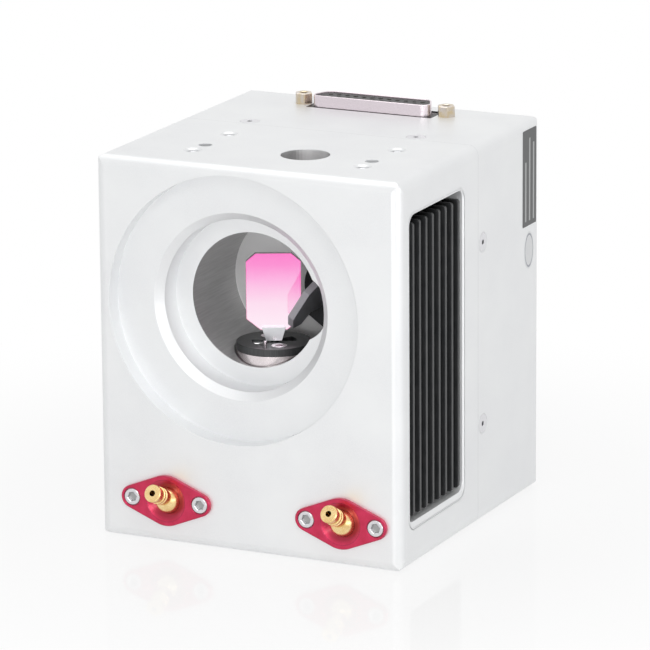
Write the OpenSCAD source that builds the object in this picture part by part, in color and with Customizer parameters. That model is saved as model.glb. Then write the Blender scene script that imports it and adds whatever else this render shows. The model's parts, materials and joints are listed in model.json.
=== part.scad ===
// Two-axis galvanometer laser scan head.
// Origin at the centre of the bottom face, +Z up, lens seat facing -Y.
// Lengths in millimetres, angles in degrees.

/* [Body] */
// Width of the head across X
body_w = 97; // [90:1:120]
// Depth of the head along Y
body_d = 100; // [96:1:130]
// Height of the head along Z
body_h = 114.5; // [112:0.5:130]
// Radius of the outer edges
edge_r = 3; // [1:0.5:3.5]
// Depth of the front housing from the lens face to the cover seam
front_d = 54.2; // [53:0.5:58]
// Wall of the rear cover
cover_wall = 3; // [2.5:0.1:4]

/* [Optics] */
// Distance from the output axis to the beam entry axis along X
axis_gap = 12.4; // [12:0.1:14]
// Offset of the output axis from the middle of the body along X
output_x = -4.7; // [-6:0.1:-2]
// Height of the optical plane above the bottom face
optic_z = 72; // [71:0.5:74]
// Depth of the beam entry axis behind the lens face
beam_y = 23.5; // [23:0.5:25]
// Radius of the beam entry bore
beam_r = 7.2; // [5:0.1:8]

/* [Lens seat] */
// Radius of the lens seat bore
seat_r = 39.8; // [36:0.1:40.5]
// Depth of the lens seat bore
seat_depth = 5.3; // [3:0.1:6]
// Radius of the inner bore
throat_r = 25.6; // [22:0.1:27]
// Depth of the inner bore's floor behind the lens face
throat_depth = 14.8; // [12:0.1:15]
// Width of the bevel between the seat floor and the inner bore
throat_bevel = 2.3; // [0.5:0.1:3]
// Radius of the mirror chamber
chamber_r = 20.15; // [19:0.05:21]
// Depth of the mirror chamber's rear wall behind the lens face
chamber_depth = 42.6; // [42:0.1:45]

/* [Mount holes] */
// Middle of the top hole pattern along X
top_x = 2.2; // [0:0.1:3]
// Spacing of the top tapped holes along X
top_dx = 54.2; // [50:0.1:60]
// Spacing of the top tapped holes along Y
top_dy = 23.4; // [20:0.1:24]
// Middle of the tapped holes behind the lens face
top_y = 28; // [26:0.5:30]
// Radius of the top tapped holes
tap_r = 2.1; // [1.6:0.05:2.5]
// Depth of the top tapped holes
tap_depth = 12; // [8:1:14]
// Radius of the dowel holes
dowel_r = 2; // [1.5:0.05:2.5]
// Spacing of the dowel holes along X
dowel_dx = 53.4; // [52:0.1:58]
// Depth of the dowel holes
dowel_depth = 8; // [5:1:12]

/* [Galvanometers] */
// Radius of the X motor
x_motor_r = 10.1; // [10:0.05:10.4]
// Radius of the Y motor
y_motor_r = 11.1; // [10.4:0.05:11.3]
// Length of the motor case
motor_l = 34; // [32:0.5:36]
// Radius of the detector case at the rear of the motor
detector_r = 9; // [8.5:0.1:10]
// Length of the detector case
detector_l = 9.5; // [9:0.5:11]
// Radius of the rotor shaft
shaft_r = 1.5; // [1.2:0.05:1.8]
// Radius of the rotor magnet
magnet_r = 3; // [2.5:0.1:3.4]
// Radius of the X galvo's stop disc
x_disc_r = 9.5; // [9:0.1:9.8]
// Radius of the Y galvo's stop disc
y_disc_r = 11; // [10:0.1:11.2]
// Thickness of the stop disc
disc_t = 2.2; // [1.8:0.1:2.6]
// Distance of the Y galvo's stop disc from the optical plane
y_reach = 14.95; // [14.5:0.05:15]
// Distance of the X galvo's stop disc from the beam entry axis
x_reach = 16.9; // [16.5:0.1:17.5]
// Distance of the Y galvo's axis behind the beam entry axis
y_axis_back = 3.6; // [3.2:0.1:3.9]
// Swing of the X rotor to each side of 45 degrees
x_swing = 12.5; // [5:0.5:12.5]
// Angle of the X mirror as stored, from the horizontal
x_tilt = 57; // [33:1:57]
// Middle of the Y rotor's travel, from the X axis
y_middle = 41; // [41:1:45]
// Swing of the Y rotor to each side of that middle
y_swing = 16; // [5:0.5:16]
// Angle of the Y mirror as stored, from the X axis
y_tilt = 26; // [26:1:56]

/* [Mirrors] */
// Width of the Y mirror
y_mirror_w = 16; // [14:0.1:16]
// Height of the Y mirror
y_mirror_h = 22.9; // [20:0.1:23]
// Full width of the X mirror
x_mirror_w = 19; // [16:0.1:19]
// Length of the X mirror along its axis
x_mirror_l = 20.6; // [18:0.1:20.6]
// Thickness of the mirrors
mirror_t = 2; // [1.5:0.1:2]

/* [Heat sink] */
// Window in the right face, along Y
window_d = 39.5; // [36:0.5:40]
// Window in the right face, along Z
window_h = 93.5; // [80:0.5:94]
// Front edge of the window behind the lens face
window_y = 5.5; // [5.5:0.1:7]
// Corner radius of the window
window_r = 4; // [2:0.5:6]
// Number of fins
fin_count = 8; // [6:1:8]
// Distance from fin to fin
fin_pitch = 4.5; // [4:0.1:4.5]
// Thickness of a fin
fin_t = 1.9; // [1.2:0.1:2.2]
// Distance from the ends of the fins to the ends of the window
fin_end = 3.5; // [3.4:0.1:6]
// Recess of the fin tips below the right face
fin_recess = 1.7; // [0.5:0.1:2]
// Depth of the heat sink's pocket in the right face
pocket_depth = 12; // [9:0.5:12]
// Thickness of the heat sink's base
sink_base = 3; // [2:0.5:4]

/* [Pointers] */
// Distance of the left pointer from the left side
pointer_left = 21.9; // [20:0.1:24]
// Distance of the right pointer from the right side
pointer_right = 18.7; // [18:0.1:22]
// Height of the pointers above the bottom face
pointer_z = 13; // [12:0.5:15]
// Radius of the pointer ball
ball_r = 4.1; // [3.5:0.05:4.2]
// Length of the pointer in front of the ball centre
pointer_l = 11.3; // [9:0.1:13]
// Tilt of the left pointer as stored
left_tilt = 24; // [0:1:30]
// Tilt of the right pointer as stored
right_tilt = 28; // [0:1:30]
// Thickness of the pointer flanges
flange_t = 2.5; // [2.2:0.1:3]
// Spacing of the flange screws
flange_dx = 22; // [20:0.5:24]

/* [Connector] */
// Distance of the connector's centre from the rear face
plug_back = 12.7; // [11:0.1:14]
// Spacing of the connector's jackscrews
jack_dx = 47.04; // [47.04:0.01:47.04]
// Height of the connector shell above the top face
shell_up = 3; // [2:0.1:4]
// Height of the jackscrews above the top face
jack_up = 4.4; // [3:0.1:6]

/* [Hidden] */
$fn = 64;
eps = 0.01;

// Places of the main planes and axes
face_y = -body_d / 2;
seam_y = face_y + front_d;
input_x = output_x + axis_gap;
mirror_y = face_y + beam_y;
throat_y = face_y + throat_depth;
chamber_y = face_y + chamber_depth;
right_x = body_w / 2;
y_axis_y = mirror_y + y_axis_back;
left_pointer_x = pointer_left - body_w / 2;
right_pointer_x = right_x - pointer_right;

// The face of the X mirror, not its axis, crosses the beam and the optical plane
face_shift = mirror_t / 2 * sqrt(0.5);
x_axis_x = input_x + face_shift;
x_axis_z = optic_z - face_shift;

// Fits
slip = 0.03;      // running fit between shaft and bearing
seat_gap = 0.02;  // gap of pieces that are pushed together
motor_gap = 0.1;  // gap round a motor in its clamp bore
relief = 0.5;     // wider run of a bore beyond its fit
beam_guide = 22;  // length of the beam entry bore before it widens
relief_depth = 6; // depth of the wider mouth round the Y motor

// Tongue of the front housing inside the rear cover
tongue_l = 8;
tongue_t = 5;
cover_gap = 0.1;
cover_screw_y = seam_y + 3.5;
cover_screw_x = 27.1;
cover_screw_z = [30, 85];
cover_head_r = 3;
m3_r = 1.5;
m3_tap_r = 1.25;

// Hollow of the rear cover
hollow_w = body_w - 2 * cover_wall;
hollow_h = body_h - 2 * cover_wall;
hollow_d = body_d - front_d - cover_wall;

// Clamp block for the X motor on the rear of the front housing
clamp_r = x_motor_r + 5;
clamp_l = 14;
clamp_slit = 1.2;
clamp_ear = 7;

// Motor insides, along the local axis from the motor's front
case_wall = 1.2;
bearing_l = 3;
bearing_r = 4;
front_wall = 1.6;
stator_gap = 0.4;
coil_margin = 2;
shaft_tail = 4;
groove_w = 0.9;
groove_d = 0.35;
cup_wall = 1;
vane_t = 0.8;
slot_r = 6.6;
slot_spare = 1.2;
hub_r = 2.6;
pin_r = 0.7;
pin_l = 12;
disc_screw_at = 6;
disc_screw_r = 2.3;
mount_gap = 0.4;
lobe_reach = 12.2;
lobe_w = 10;
lobe_angle = -125;
wall_gap = 0.05;
peg_at = 7.3;
peg_angle = -84;
peg_r = 0.5;
peg_up = 1.6;
m2_r = 1.1;
m2_tap_r = 0.8;
m2_head_h = 1.3;

// Mirrors and their holders
mount_t = 4.4;
mount_low_w = 4.6;
mount_top_w = 6.8;
mirror_bite = 1;
grub_r = 0.6;
grub_up = 0.9;
shaft_bite = 1.8;
x_mirror_low = -13.9;
x_mirror_high = x_mirror_low + x_mirror_l;
neck_w = 5.6;
y_mirror_high = 11.4;
y_mirror_low = y_mirror_high - y_mirror_h;

// A galvo: reach of its disc from the mirror centre, motor radius, disc radius,
// middle angle of its stop slot and swing to each side
X = [x_reach, x_motor_r, x_disc_r, 45, x_swing];
Y = [y_reach, y_motor_r, y_disc_r, y_middle, y_swing];

// Y motor pocket, its cap in the bottom face and its clamp screw
pocket_spare = 1.5;
cap_t = 2.5;
cap_recess = 0.3;
cap_screw_at = y_motor_r + pocket_spare + 2.5;
cap_r = cap_screw_at + 3.5;
y_clamp_z = 40;
set_screw_l = 6;

// Heat sink seat and the slot for the X driver board behind it
sink_y = face_y + window_y;
sink_z = body_h / 2 + 0.5;
sink_x = right_x - pocket_depth;
slot_w = 5.5;
slot_from = 12;
ledge_t = 1.2;
sink_screw_r = 0.8;
sink_head_r = 1.4;
fin_h = window_h - 2 * fin_end;

// Pointers: bowl, ball socket, pocket and barrel
bowl_depth = 1.8;
bowl_r = 6.1;
mouth_r = ball_r - 0.3;
socket_r = ball_r + 0.05;
ball_y = face_y - flange_t + bowl_depth + sqrt(pow(socket_r, 2) - pow(mouth_r, 2));
pocket_r = 5.9;
pocket_l = 15;
hub_h = 3;
hub_gap = 0.1;
seat_t = 1.8;
neck_r = 2.3;
tip_r = 2.6;
nozzle_r = 0.9;
barrel_l = 6;
barrel_r = 2;
diode_r = 1.5;
flange_head_r = 2.5;
flange_head_h = 1.9;
flange_sink = 1.7;

// Connector and boards
plug_y = body_d / 2 - plug_back;
top_in = body_h - cover_wall;
shell_wall = 0.5;
insulator_up = shell_up - 0.4;
contact_drop = 12;
jack_hex_r = 2.75;
nut_h = 2.2;
flange_sheet = 0.8;
board_t = 1.6;
post_r = 2.4;
x_board_x = sink_x - slot_w + 0.6;
y_board_x = 8 - hollow_w / 2;
board_z = [sink_z - window_h / 2 + 5, sink_z + window_h / 2 - 5];
board_back = body_d / 2 - cover_wall - 3;
x_post_y = [board_back - 5];
y_post_y = [seam_y + tongue_l + 7, board_back - 5];

// ---------------------------------------------------------------- helpers

// Rectangle centred on the origin with true round corners
module round_rect(w, h, r) {
    square([w - 2 * r, h], center = true);
    square([w, h - 2 * r], center = true);
    for (sx = [-1, 1], sy = [-1, 1])
        translate([sx * (w / 2 - r), sy * (h / 2 - r)]) circle(r);
}

// Outer block of the whole head with every edge rounded
module envelope() {
    intersection() {
        linear_extrude(body_h) round_rect(body_w, body_d, edge_r);
        translate([0, body_d / 2, body_h / 2]) rotate([90, 0, 0])
            linear_extrude(body_d) round_rect(body_w, body_h, edge_r);
        translate([-body_w / 2, 0, body_h / 2]) rotate([90, 0, 90])
            linear_extrude(body_w) round_rect(body_d, body_h, edge_r);
    }
}

// Cylinder along +Y from y0 to y1
module along_y(r, y0, y1) {
    translate([0, y0, 0]) rotate([-90, 0, 0]) cylinder(r = r, h = y1 - y0);
}

// Box given by its low and high corners
module span(low, high) {
    translate(low) cube(high - low);
}

// Places of the eight cover screws, with +Z pointing out of the face
module at_cover_screws() {
    for (s = [-1, 1], z = cover_screw_z)
        translate([s * body_w / 2, cover_screw_y, z]) rotate([0, s * 90, 0]) children();
    for (s = [-1, 1]) {
        translate([s * cover_screw_x, cover_screw_y, body_h]) children();
        translate([s * cover_screw_x, cover_screw_y, 0]) rotate([180, 0, 0]) children();
    }
}

// Countersunk screw with its head flush with the local XY plane
module countersunk(r, head_r, l) {
    difference() {
        union() {
            translate([0, 0, -l]) cylinder(r = r, h = l);
            translate([0, 0, r - head_r - 0.2]) cylinder(r1 = r, r2 = head_r, h = head_r - r);
            translate([0, 0, -0.2]) cylinder(r = head_r, h = 0.2);
        }
        translate([0, 0, -1.4]) cylinder(r = r * 0.65, h = 2, $fn = 6);
    }
}

// Clearance for that screw
module countersink(r, head_r, l) {
    translate([0, 0, -l]) cylinder(r = r, h = l);
    translate([0, 0, r - head_r - 0.2]) cylinder(r1 = r, r2 = head_r, h = head_r - r);
    translate([0, 0, -0.2]) cylinder(r = head_r, h = 1);
}

// Socket head screw with its head seated on the local XY plane
module socket_screw(r, head_r, head_h, l) {
    difference() {
        union() {
            translate([0, 0, -l]) cylinder(r = r, h = l + eps);
            cylinder(r = head_r, h = head_h);
        }
        translate([0, 0, head_h * 0.45]) cylinder(r = head_r * 0.55, h = head_h, $fn = 6);
    }
}

// Frame of each galvo: mirror centre at the origin, mirror towards +Z
module x_frame() {
    translate([x_axis_x, mirror_y, x_axis_z]) rotate([90, 0, 0]) children();
}

module y_frame() {
    translate([output_x, y_axis_y, optic_z]) children();
}

// ---------------------------------------------------------------- casing

// Places of the top tapped holes
module at_top_taps() {
    for (sx = [-1, 1], sy = [-1, 1])
        translate([top_x + sx * top_dx / 2, face_y + top_y + sy * top_dy / 2, body_h]) children();
}

// Stepped lens seat, inner bore and mirror chamber
module optical_bores() {
    translate([output_x, 0, optic_z]) {
        along_y(seat_r, face_y - 1, face_y + seat_depth);
        along_y(throat_r, face_y, throat_y);
        translate([0, face_y + seat_depth, 0]) rotate([-90, 0, 0])
            cylinder(r1 = throat_r + throat_bevel, r2 = throat_r, h = throat_bevel);
        along_y(chamber_r, throat_y - eps, chamber_y);
    }
    translate([x_axis_x, 0, x_axis_z]) along_y(x_motor_r + motor_gap, throat_y - eps, chamber_y + eps);
    translate([input_x, mirror_y, optic_z]) {
        cylinder(r = beam_r, h = body_h);
        cylinder(r = beam_r + relief, h = body_h - optic_z - beam_guide);
    }
}

// Bores and pockets that hold the two motors
module motor_bores() {
    x_frame() translate([0, 0, motor_top(X)]) mirror([0, 0, 1])
        cylinder(r = x_motor_r + motor_gap, h = body_d);
    y_frame() {
        translate([0, 0, motor_end(Y)]) cylinder(r = y_motor_r + motor_gap, h = motor_l + disc_t);
        translate([0, 0, motor_top(Y) - relief_depth])
            cylinder(r = y_motor_r + relief, h = relief_depth + disc_t);
        translate([0, 0, motor_end(Y) - body_h]) cylinder(r = y_motor_r + pocket_spare, h = body_h + 2);
    }
    translate([output_x, y_axis_y, -1]) cylinder(r = cap_r, h = cap_t + cap_recess + 1);
    at_cap_screws() cylinder(r = m3_tap_r, h = 8);
    // channel for the Y galvo's leads, open to the rear hollow
    low = optic_z + motor_end(Y) - detector_l - 2;
    span([output_x - 7, y_axis_y, low], [output_x + 7, seam_y + tongue_l + 1, low + detector_l]);
}

// Places of the three screws of the motor cap, with +Z pointing into the housing
module at_cap_screws() {
    for (a = [90, 210, 330]) translate([output_x, y_axis_y, cap_recess + cap_t])
        rotate([0, 0, a]) translate([cap_screw_at, 0, 0]) children();
}

// Pocket, ledge and inner slot for the heat sink and the X driver board
module sink_pocket() {
    translate([sink_x, sink_y + window_d / 2, sink_z]) rotate([90, 0, 90])
        linear_extrude(pocket_depth + 1) round_rect(window_d, window_h, window_r);
    span([sink_x - slot_w, sink_y + slot_from, sink_z - window_h / 2 + 8],
        [sink_x + 1, sink_y + window_d - 5, sink_z + window_h / 2 - 8]);
    span([sink_x - slot_w, sink_y + slot_from, board_z[0] - 1],
        [sink_x - ledge_t, seam_y + 1, board_z[1] + 1]);
}

// Places of the four screws that hold the heat sink, on the face of its base
module at_sink_screws() {
    for (y = [-1, 1], z = [-1, 1])
        translate([sink_x + sink_base, sink_y + window_d / 2 + y * 12,
            sink_z + z * (window_h / 2 - sink_head_r - 0.4)]) rotate([0, 90, 0]) children();
}

// Pocket behind a pointer flange with the two tapped holes beside it
module pointer_pocket(x) {
    translate([x, 0, pointer_z]) {
        along_y(pocket_r, face_y - 1, face_y + pocket_l);
        along_y(m3_r, face_y, seam_y + 1);
        for (s = [-1, 1])
            translate([s * flange_dx / 2, 0, 0]) along_y(m3_tap_r, face_y - 1, face_y + 8);
    }
}

module front_housing() {
    color([0.93, 0.94, 0.95]) difference() {
        union() {
            intersection() {
                envelope();
                span([-body_w, face_y - 1, -1], [body_w, seam_y, body_h + 1]);
            }
            tongue();
            clamp_block();
        }
        optical_bores();
        motor_bores();
        sink_pocket();
        for (x = [left_pointer_x, right_pointer_x]) pointer_pocket(x);
        at_top_taps() {
            translate([0, 0, -tap_depth]) cylinder(r = tap_r, h = tap_depth + 1);
            translate([0, 0, -0.6]) cylinder(r1 = tap_r, r2 = tap_r + 0.6, h = 0.6 + eps);
        }
        for (s = [-1, 1]) translate([top_x + s * dowel_dx / 2, mirror_y, body_h - dowel_depth])
            cylinder(r = dowel_r, h = dowel_depth + 1);
        at_cover_screws() translate([0, 0, -11]) cylinder(r = m3_tap_r, h = 11);
        at_sink_screws() translate([0, 0, -7]) cylinder(r = sink_screw_r, h = 7);
        x_clamp_hole();
        y_clamp_hole();
    }
}

// Rear tongue that the cover slides over
module tongue() {
    w = hollow_w - 2 * cover_gap;
    h = hollow_h - 2 * cover_gap;
    translate([0, seam_y + tongue_l, body_h / 2]) rotate([90, 0, 0]) linear_extrude(tongue_l + 1)
        difference() {
            round_rect(w, h, edge_r);
            round_rect(w - 2 * tongue_t, h - 2 * tongue_t, edge_r);
        }
}

// Split clamp for the X motor
module clamp_block() {
    translate([x_axis_x, 0, x_axis_z]) {
        along_y(clamp_r, seam_y - 1, seam_y + clamp_l);
        span([-clamp_ear / 2 - 1, seam_y - 1, 0], [clamp_ear / 2 + 1, seam_y + clamp_l, clamp_r + clamp_ear]);
    }
}

// Slit and cross hole of the X motor clamp
module x_clamp_hole() {
    translate([x_axis_x, seam_y + clamp_l / 2 + 1, x_axis_z]) {
        translate([-clamp_slit / 2, -clamp_l / 2, 0]) cube([clamp_slit, clamp_l + 2, clamp_r + clamp_ear + 1]);
        translate([0, 0, clamp_r + clamp_ear / 2]) rotate([0, 90, 0])
            cylinder(r = m3_r, h = 30, center = true);
    }
}

// Tapped hole for the set screw that clamps the Y motor
module y_clamp_hole() {
    translate([output_x, 0, y_clamp_z]) along_y(m3_r + 0.05, y_axis_y, seam_y + 1);
}

module rear_cover() {
    color([0.93, 0.94, 0.95]) {
        difference() {
            intersection() {
                envelope();
                span([-body_w, seam_y, -1], [body_w, body_d, body_h + 1]);
            }
            translate([0, seam_y + hollow_d, body_h / 2]) rotate([90, 0, 0])
                linear_extrude(hollow_d + 1) round_rect(hollow_w, hollow_h, edge_r);
            at_cover_screws() countersink(m3_r + 0.1, cover_head_r, 9);
            connector_cutout();
        }
        board_posts();
    }
}

module cover_screws() {
    color([0.8, 0.8, 0.82]) at_cover_screws() countersunk(m3_tap_r - 0.01, cover_head_r - 0.05, 8);
}

// ---------------------------------------------------------------- heat sink

module heat_sink() {
    first_y = sink_y + window_d - (fin_count - 1) * fin_pitch - fin_t - 0.1;
    color([0.08, 0.08, 0.09]) {
        difference() {
            translate([sink_x, sink_y + window_d / 2, sink_z]) rotate([90, 0, 90])
                linear_extrude(sink_base) round_rect(window_d - 0.6, window_h - 0.6, window_r - 0.3);
            at_sink_screws() translate([0, 0, -sink_base - 1]) cylinder(r = sink_screw_r + 0.1, h = 9);
        }
        for (k = [0 : fin_count - 1])
            translate([0, first_y + k * fin_pitch, sink_z]) sink_fin(sink_x + sink_base - eps,
                right_x - fin_recess);
    }
}

// One fin between two X planes, with its outer corners rounded
module sink_fin(x0, x1) {
    r = 2.5;
    rotate([-90, 0, 0]) linear_extrude(fin_t) {
        translate([x0, -fin_h / 2]) square([x1 - x0 - r, fin_h]);
        translate([x0, -fin_h / 2 + r]) square([x1 - x0, fin_h - 2 * r]);
        for (s = [-1, 1]) translate([x1 - r, s * (fin_h / 2 - r)]) circle(r);
    }
}

module heat_sink_screws() {
    color([0.15, 0.15, 0.16]) at_sink_screws()
        socket_screw(sink_screw_r - 0.02, sink_head_r, 1.2, sink_base + 4);
}

// ---------------------------------------------------------------- pointers

// Diamond plate with its bowl and ball socket; the ball is caught from behind
module flange(x) {
    translate([x, 0, pointer_z]) color([0.78, 0.05, 0.2]) difference() {
        union() {
            translate([0, face_y, 0]) rotate([90, 0, 0]) linear_extrude(flange_t) flange_outline();
            along_y(pocket_r - hub_gap, face_y - eps, face_y + hub_h);
        }
        translate([0, face_y - flange_t - eps, 0]) rotate([-90, 0, 0])
            cylinder(r1 = bowl_r, r2 = mouth_r, h = bowl_depth + eps);
        along_y(mouth_r, face_y - flange_t, face_y + 1);
        translate([0, ball_y, 0]) sphere(socket_r);
        along_y(socket_r, ball_y, face_y + hub_h + 1);
        for (s = [-1, 1]) translate([s * flange_dx / 2, 0, 0]) {
            along_y(m3_r + 0.1, face_y - flange_t - 1, face_y + 1);
            along_y(flange_head_r + 0.2, face_y - flange_t - 1, face_y - flange_t + flange_sink);
        }
    }
}

// Diamond of three circles joined by their common tangents
module flange_outline() {
    big = 7.65;
    small = 3.45;
    at = flange_dx / 2;
    lean = asin((big - small) / at);
    circle(big);
    for (s = [-1, 1]) translate([s * at, 0]) circle(small);
    for (s = [-1, 1]) polygon([
        [s * big * sin(lean), big * cos(lean)],
        [s * (at + small * sin(lean)), small * cos(lean)],
        [s * (at + small * sin(lean)), -small * cos(lean)],
        [s * big * sin(lean), -big * cos(lean)],
        [0, 0]]);
}

module left_flange() {
    flange(left_pointer_x);
}

module right_flange() {
    flange(right_pointer_x);
}

module flange_screws() {
    color([0.82, 0.82, 0.84]) for (x = [left_pointer_x, right_pointer_x], s = [-1, 1])
        translate([x + s * flange_dx / 2, face_y - flange_t + flange_sink, pointer_z])
            rotate([90, 0, 0]) socket_screw(m3_tap_r - 0.01, flange_head_r, flange_head_h, 7);
}

// Pointer frame: ball centre at the origin, nose towards +Z before the tilt
module pointer_frame(x, tilt) {
    translate([x, ball_y, pointer_z]) rotate([90 - tilt, 0, 0]) children();
}

// Ball, neck with two collars, tip disc and rear barrel in one turned piece
module pointer(x, tilt) {
    color([0.83, 0.62, 0.25]) pointer_frame(x, tilt) difference() {
        union() {
            sphere(ball_r);
            rotate_extrude() polygon([
                [0, 0], [neck_r, 0], [neck_r, pointer_l - 5.6], [neck_r + 0.3, pointer_l - 5.4],
                [neck_r + 0.3, pointer_l - 4.9], [neck_r, pointer_l - 4.7], [neck_r, pointer_l - 4.2],
                [neck_r + 0.3, pointer_l - 4], [neck_r + 0.3, pointer_l - 3.5], [neck_r, pointer_l - 3.3],
                [neck_r, pointer_l - 1.6], [tip_r, pointer_l - 1.4], [tip_r, pointer_l - 0.3],
                [tip_r - 0.3, pointer_l], [0, pointer_l]]);
            translate([0, 0, -barrel_l]) cylinder(r = barrel_r, h = barrel_l);
        }
        translate([0, 0, -1]) cylinder(r = nozzle_r, h = pointer_l + 2);
        translate([0, 0, -barrel_l - 1]) cylinder(r = diode_r + seat_gap, h = barrel_l - 0.4);
    }
}

module left_pointer() {
    pointer(left_pointer_x, left_tilt);
}

module right_pointer() {
    pointer(right_pointer_x, right_tilt);
}

module pointer_diode(x, tilt) {
    color([0.75, 0.68, 0.45]) pointer_frame(x, tilt) {
        translate([0, 0, -barrel_l]) cylinder(r = diode_r, h = 2.6);
        for (s = [-1, 1]) translate([s * 0.6, 0, -barrel_l - 0.8]) cylinder(r = 0.2, h = 0.9);
    }
}

module left_pointer_diode() {
    pointer_diode(left_pointer_x, left_tilt);
}

module right_pointer_diode() {
    pointer_diode(right_pointer_x, right_tilt);
}

// Ring that presses the ball into the flange from behind
module ball_seat(x) {
    color([0.55, 0.55, 0.57]) translate([x, 0, pointer_z]) difference() {
        along_y(pocket_r - hub_gap, face_y + hub_h, face_y + hub_h + seat_t);
        translate([0, ball_y, 0]) sphere(socket_r);
        translate([0, face_y + hub_h, 0]) rotate([-90, 0, 0]) cylinder(r1 = barrel_r + 1.3, r2 = barrel_r + 2.8, h = seat_t + eps);
    }
}

module left_ball_seat() {
    ball_seat(left_pointer_x);
}

module right_ball_seat() {
    ball_seat(right_pointer_x);
}

// ---------------------------------------------------------------- connector

// D outline with slanted ends, narrow side towards -Y
module d_outline(grow) {
    r = 1.4;
    half = 4.18 + grow;
    wide = [19.15 + grow - r, half - r];
    narrow = [17.75 + grow - r, r - half];
    along = (wide - narrow) / norm(wide - narrow);
    out = [along[1], -along[0]] * r;
    for (m = [0, 1]) mirror([m, 0]) {
        translate(wide) circle(r);
        translate(narrow) circle(r);
        polygon([[0, half], [wide[0], half], wide + out, narrow + out, [narrow[0], -half], [0, -half]]);
    }
}

module connector_cutout() {
    translate([0, plug_y, top_in - 1]) linear_extrude(cover_wall + 2) d_outline(0.6);
    for (s = [-1, 1]) translate([s * jack_dx / 2, plug_y, top_in - 1])
        cylinder(r = m3_r + 0.1, h = cover_wall + 2);
}

// Flange under the top wall with the D shaped shell standing on it
module connector_shell() {
    low = top_in - flange_sheet;
    color([0.85, 0.8, 0.78]) difference() {
        union() {
            translate([0, plug_y, low]) linear_extrude(flange_sheet) round_rect(53, 12.5, 1.5);
            translate([0, plug_y, low]) linear_extrude(flange_sheet + cover_wall + shell_up) d_outline(0);
            translate([0, plug_y, low - 6]) linear_extrude(6 + eps) round_rect(39, 9.6, 1);
        }
        translate([0, plug_y, low - 7]) linear_extrude(cover_wall + shell_up + 9) d_outline(-shell_wall);
        for (s = [-1, 1])
            translate([s * jack_dx / 2, plug_y, low - 1]) cylinder(r = m3_r + 0.1, h = 3);
    }
}

module connector_insulator() {
    color([0.12, 0.12, 0.13]) difference() {
        translate([0, plug_y, top_in - 9]) linear_extrude(cover_wall + insulator_up + 9)
            d_outline(-shell_wall - seat_gap);
        at_contacts() cylinder(r = 0.62, h = 30);
    }
}

// Thirteen contacts in the wide row and twelve in the narrow row
module at_contacts() {
    pitch = 2.76;
    row = 1.42;
    for (k = [0 : 12]) translate([(k - 6) * pitch, plug_y + row, top_in - contact_drop]) children();
    for (k = [0 : 11]) translate([(k - 5.5) * pitch, plug_y - row, top_in - contact_drop]) children();
}

module connector_contacts() {
    color([0.85, 0.7, 0.35]) at_contacts()
        cylinder(r = 0.6, h = contact_drop + cover_wall + insulator_up - 0.4, $fn = 16);
}

module jackscrews() {
    color([0.82, 0.75, 0.6]) for (s = [-1, 1]) translate([s * jack_dx / 2, plug_y, body_h]) difference() {
        union() {
            cylinder(r = jack_hex_r, h = jack_up, $fn = 6);
            translate([0, 0, -cover_wall - 4]) cylinder(r = m3_r - 0.05, h = cover_wall + 4.01);
        }
        translate([0, 0, jack_up - 3.4]) cylinder(r = 1.2, h = 4);
    }
}

module jack_nuts() {
    color([0.75, 0.75, 0.77]) for (s = [-1, 1]) translate([s * jack_dx / 2, plug_y, top_in - flange_sheet - nut_h])
        difference() {
            cylinder(r = 3, h = nut_h, $fn = 6);
            translate([0, 0, -1]) cylinder(r = m3_r - 0.02, h = 5);
        }
}

// ---------------------------------------------------------------- boards

// Small board that carries the connector
module interface_board() {
    color([0.1, 0.35, 0.2]) translate([0, plug_y, top_in - contact_drop]) mirror([0, 0, 1]) {
        difference() {
            translate([-28, -12, 0]) cube([56, 20, board_t]);
            for (s = [-1, 1])
                translate([s * jack_dx / 2, 0, -1]) cylinder(r = m3_r, h = board_t + 2);
        }
        board_block([-12, -2], [10, 6, 2.4]);
        board_block([4, -4], [7, 7, 1.4]);
        board_block([20, 3], [6, 5, 2]);
    }
}

// Component on the face of a board, given by its middle and size
module board_block(at, size) {
    translate([at[0] - size[0] / 2, at[1] - size[1] / 2, board_t - eps]) cube(size + [0, 0, eps]);
}

// Places of the posts of a driver board on the side wall of the cover
module at_posts(ys) {
    for (y = ys, z = [board_z[0] + 6, board_z[1] - 6]) translate([0, y, z]) children();
}

// Driver board with its power chips seated on the heat sink's base
module x_driver_board() {
    chip_t = sink_x - x_board_x - board_t;
    color([0.1, 0.35, 0.2]) difference() {
        union() {
            span([x_board_x, sink_y + slot_from + 0.5, board_z[0]], [x_board_x + board_t, board_back, board_z[1]]);
            for (k = [0 : 3]) translate([x_board_x + board_t - eps, sink_y + slot_from + 3, sink_z - 33 + k * 18])
                cube([chip_t + eps, 10, 12]);
            for (z = [30, 55, 80]) translate([x_board_x + board_t - eps, seam_y + tongue_l + 10, z])
                rotate([0, 90, 0]) cylinder(r = 4, h = 7);
        }
        at_posts(x_post_y) translate([x_board_x - 1, 0, 0]) rotate([0, 90, 0])
            cylinder(r = m3_r, h = board_t + 2);
    }
}

// Driver board of the Y galvo on the left wall
module y_driver_board() {
    color([0.1, 0.35, 0.2]) difference() {
        union() {
            span([y_board_x, seam_y + tongue_l + 2, board_z[0]], [y_board_x + board_t, board_back, board_z[1]]);
            for (k = [0 : 3]) translate([y_board_x + board_t - eps, seam_y + tongue_l + 12, sink_z - 33 + k * 18])
                cube([4.5, 12, 10]);
        }
        at_posts(y_post_y) translate([y_board_x - 1, 0, 0]) rotate([0, 90, 0])
            cylinder(r = m3_r, h = board_t + 2);
    }
}

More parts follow.
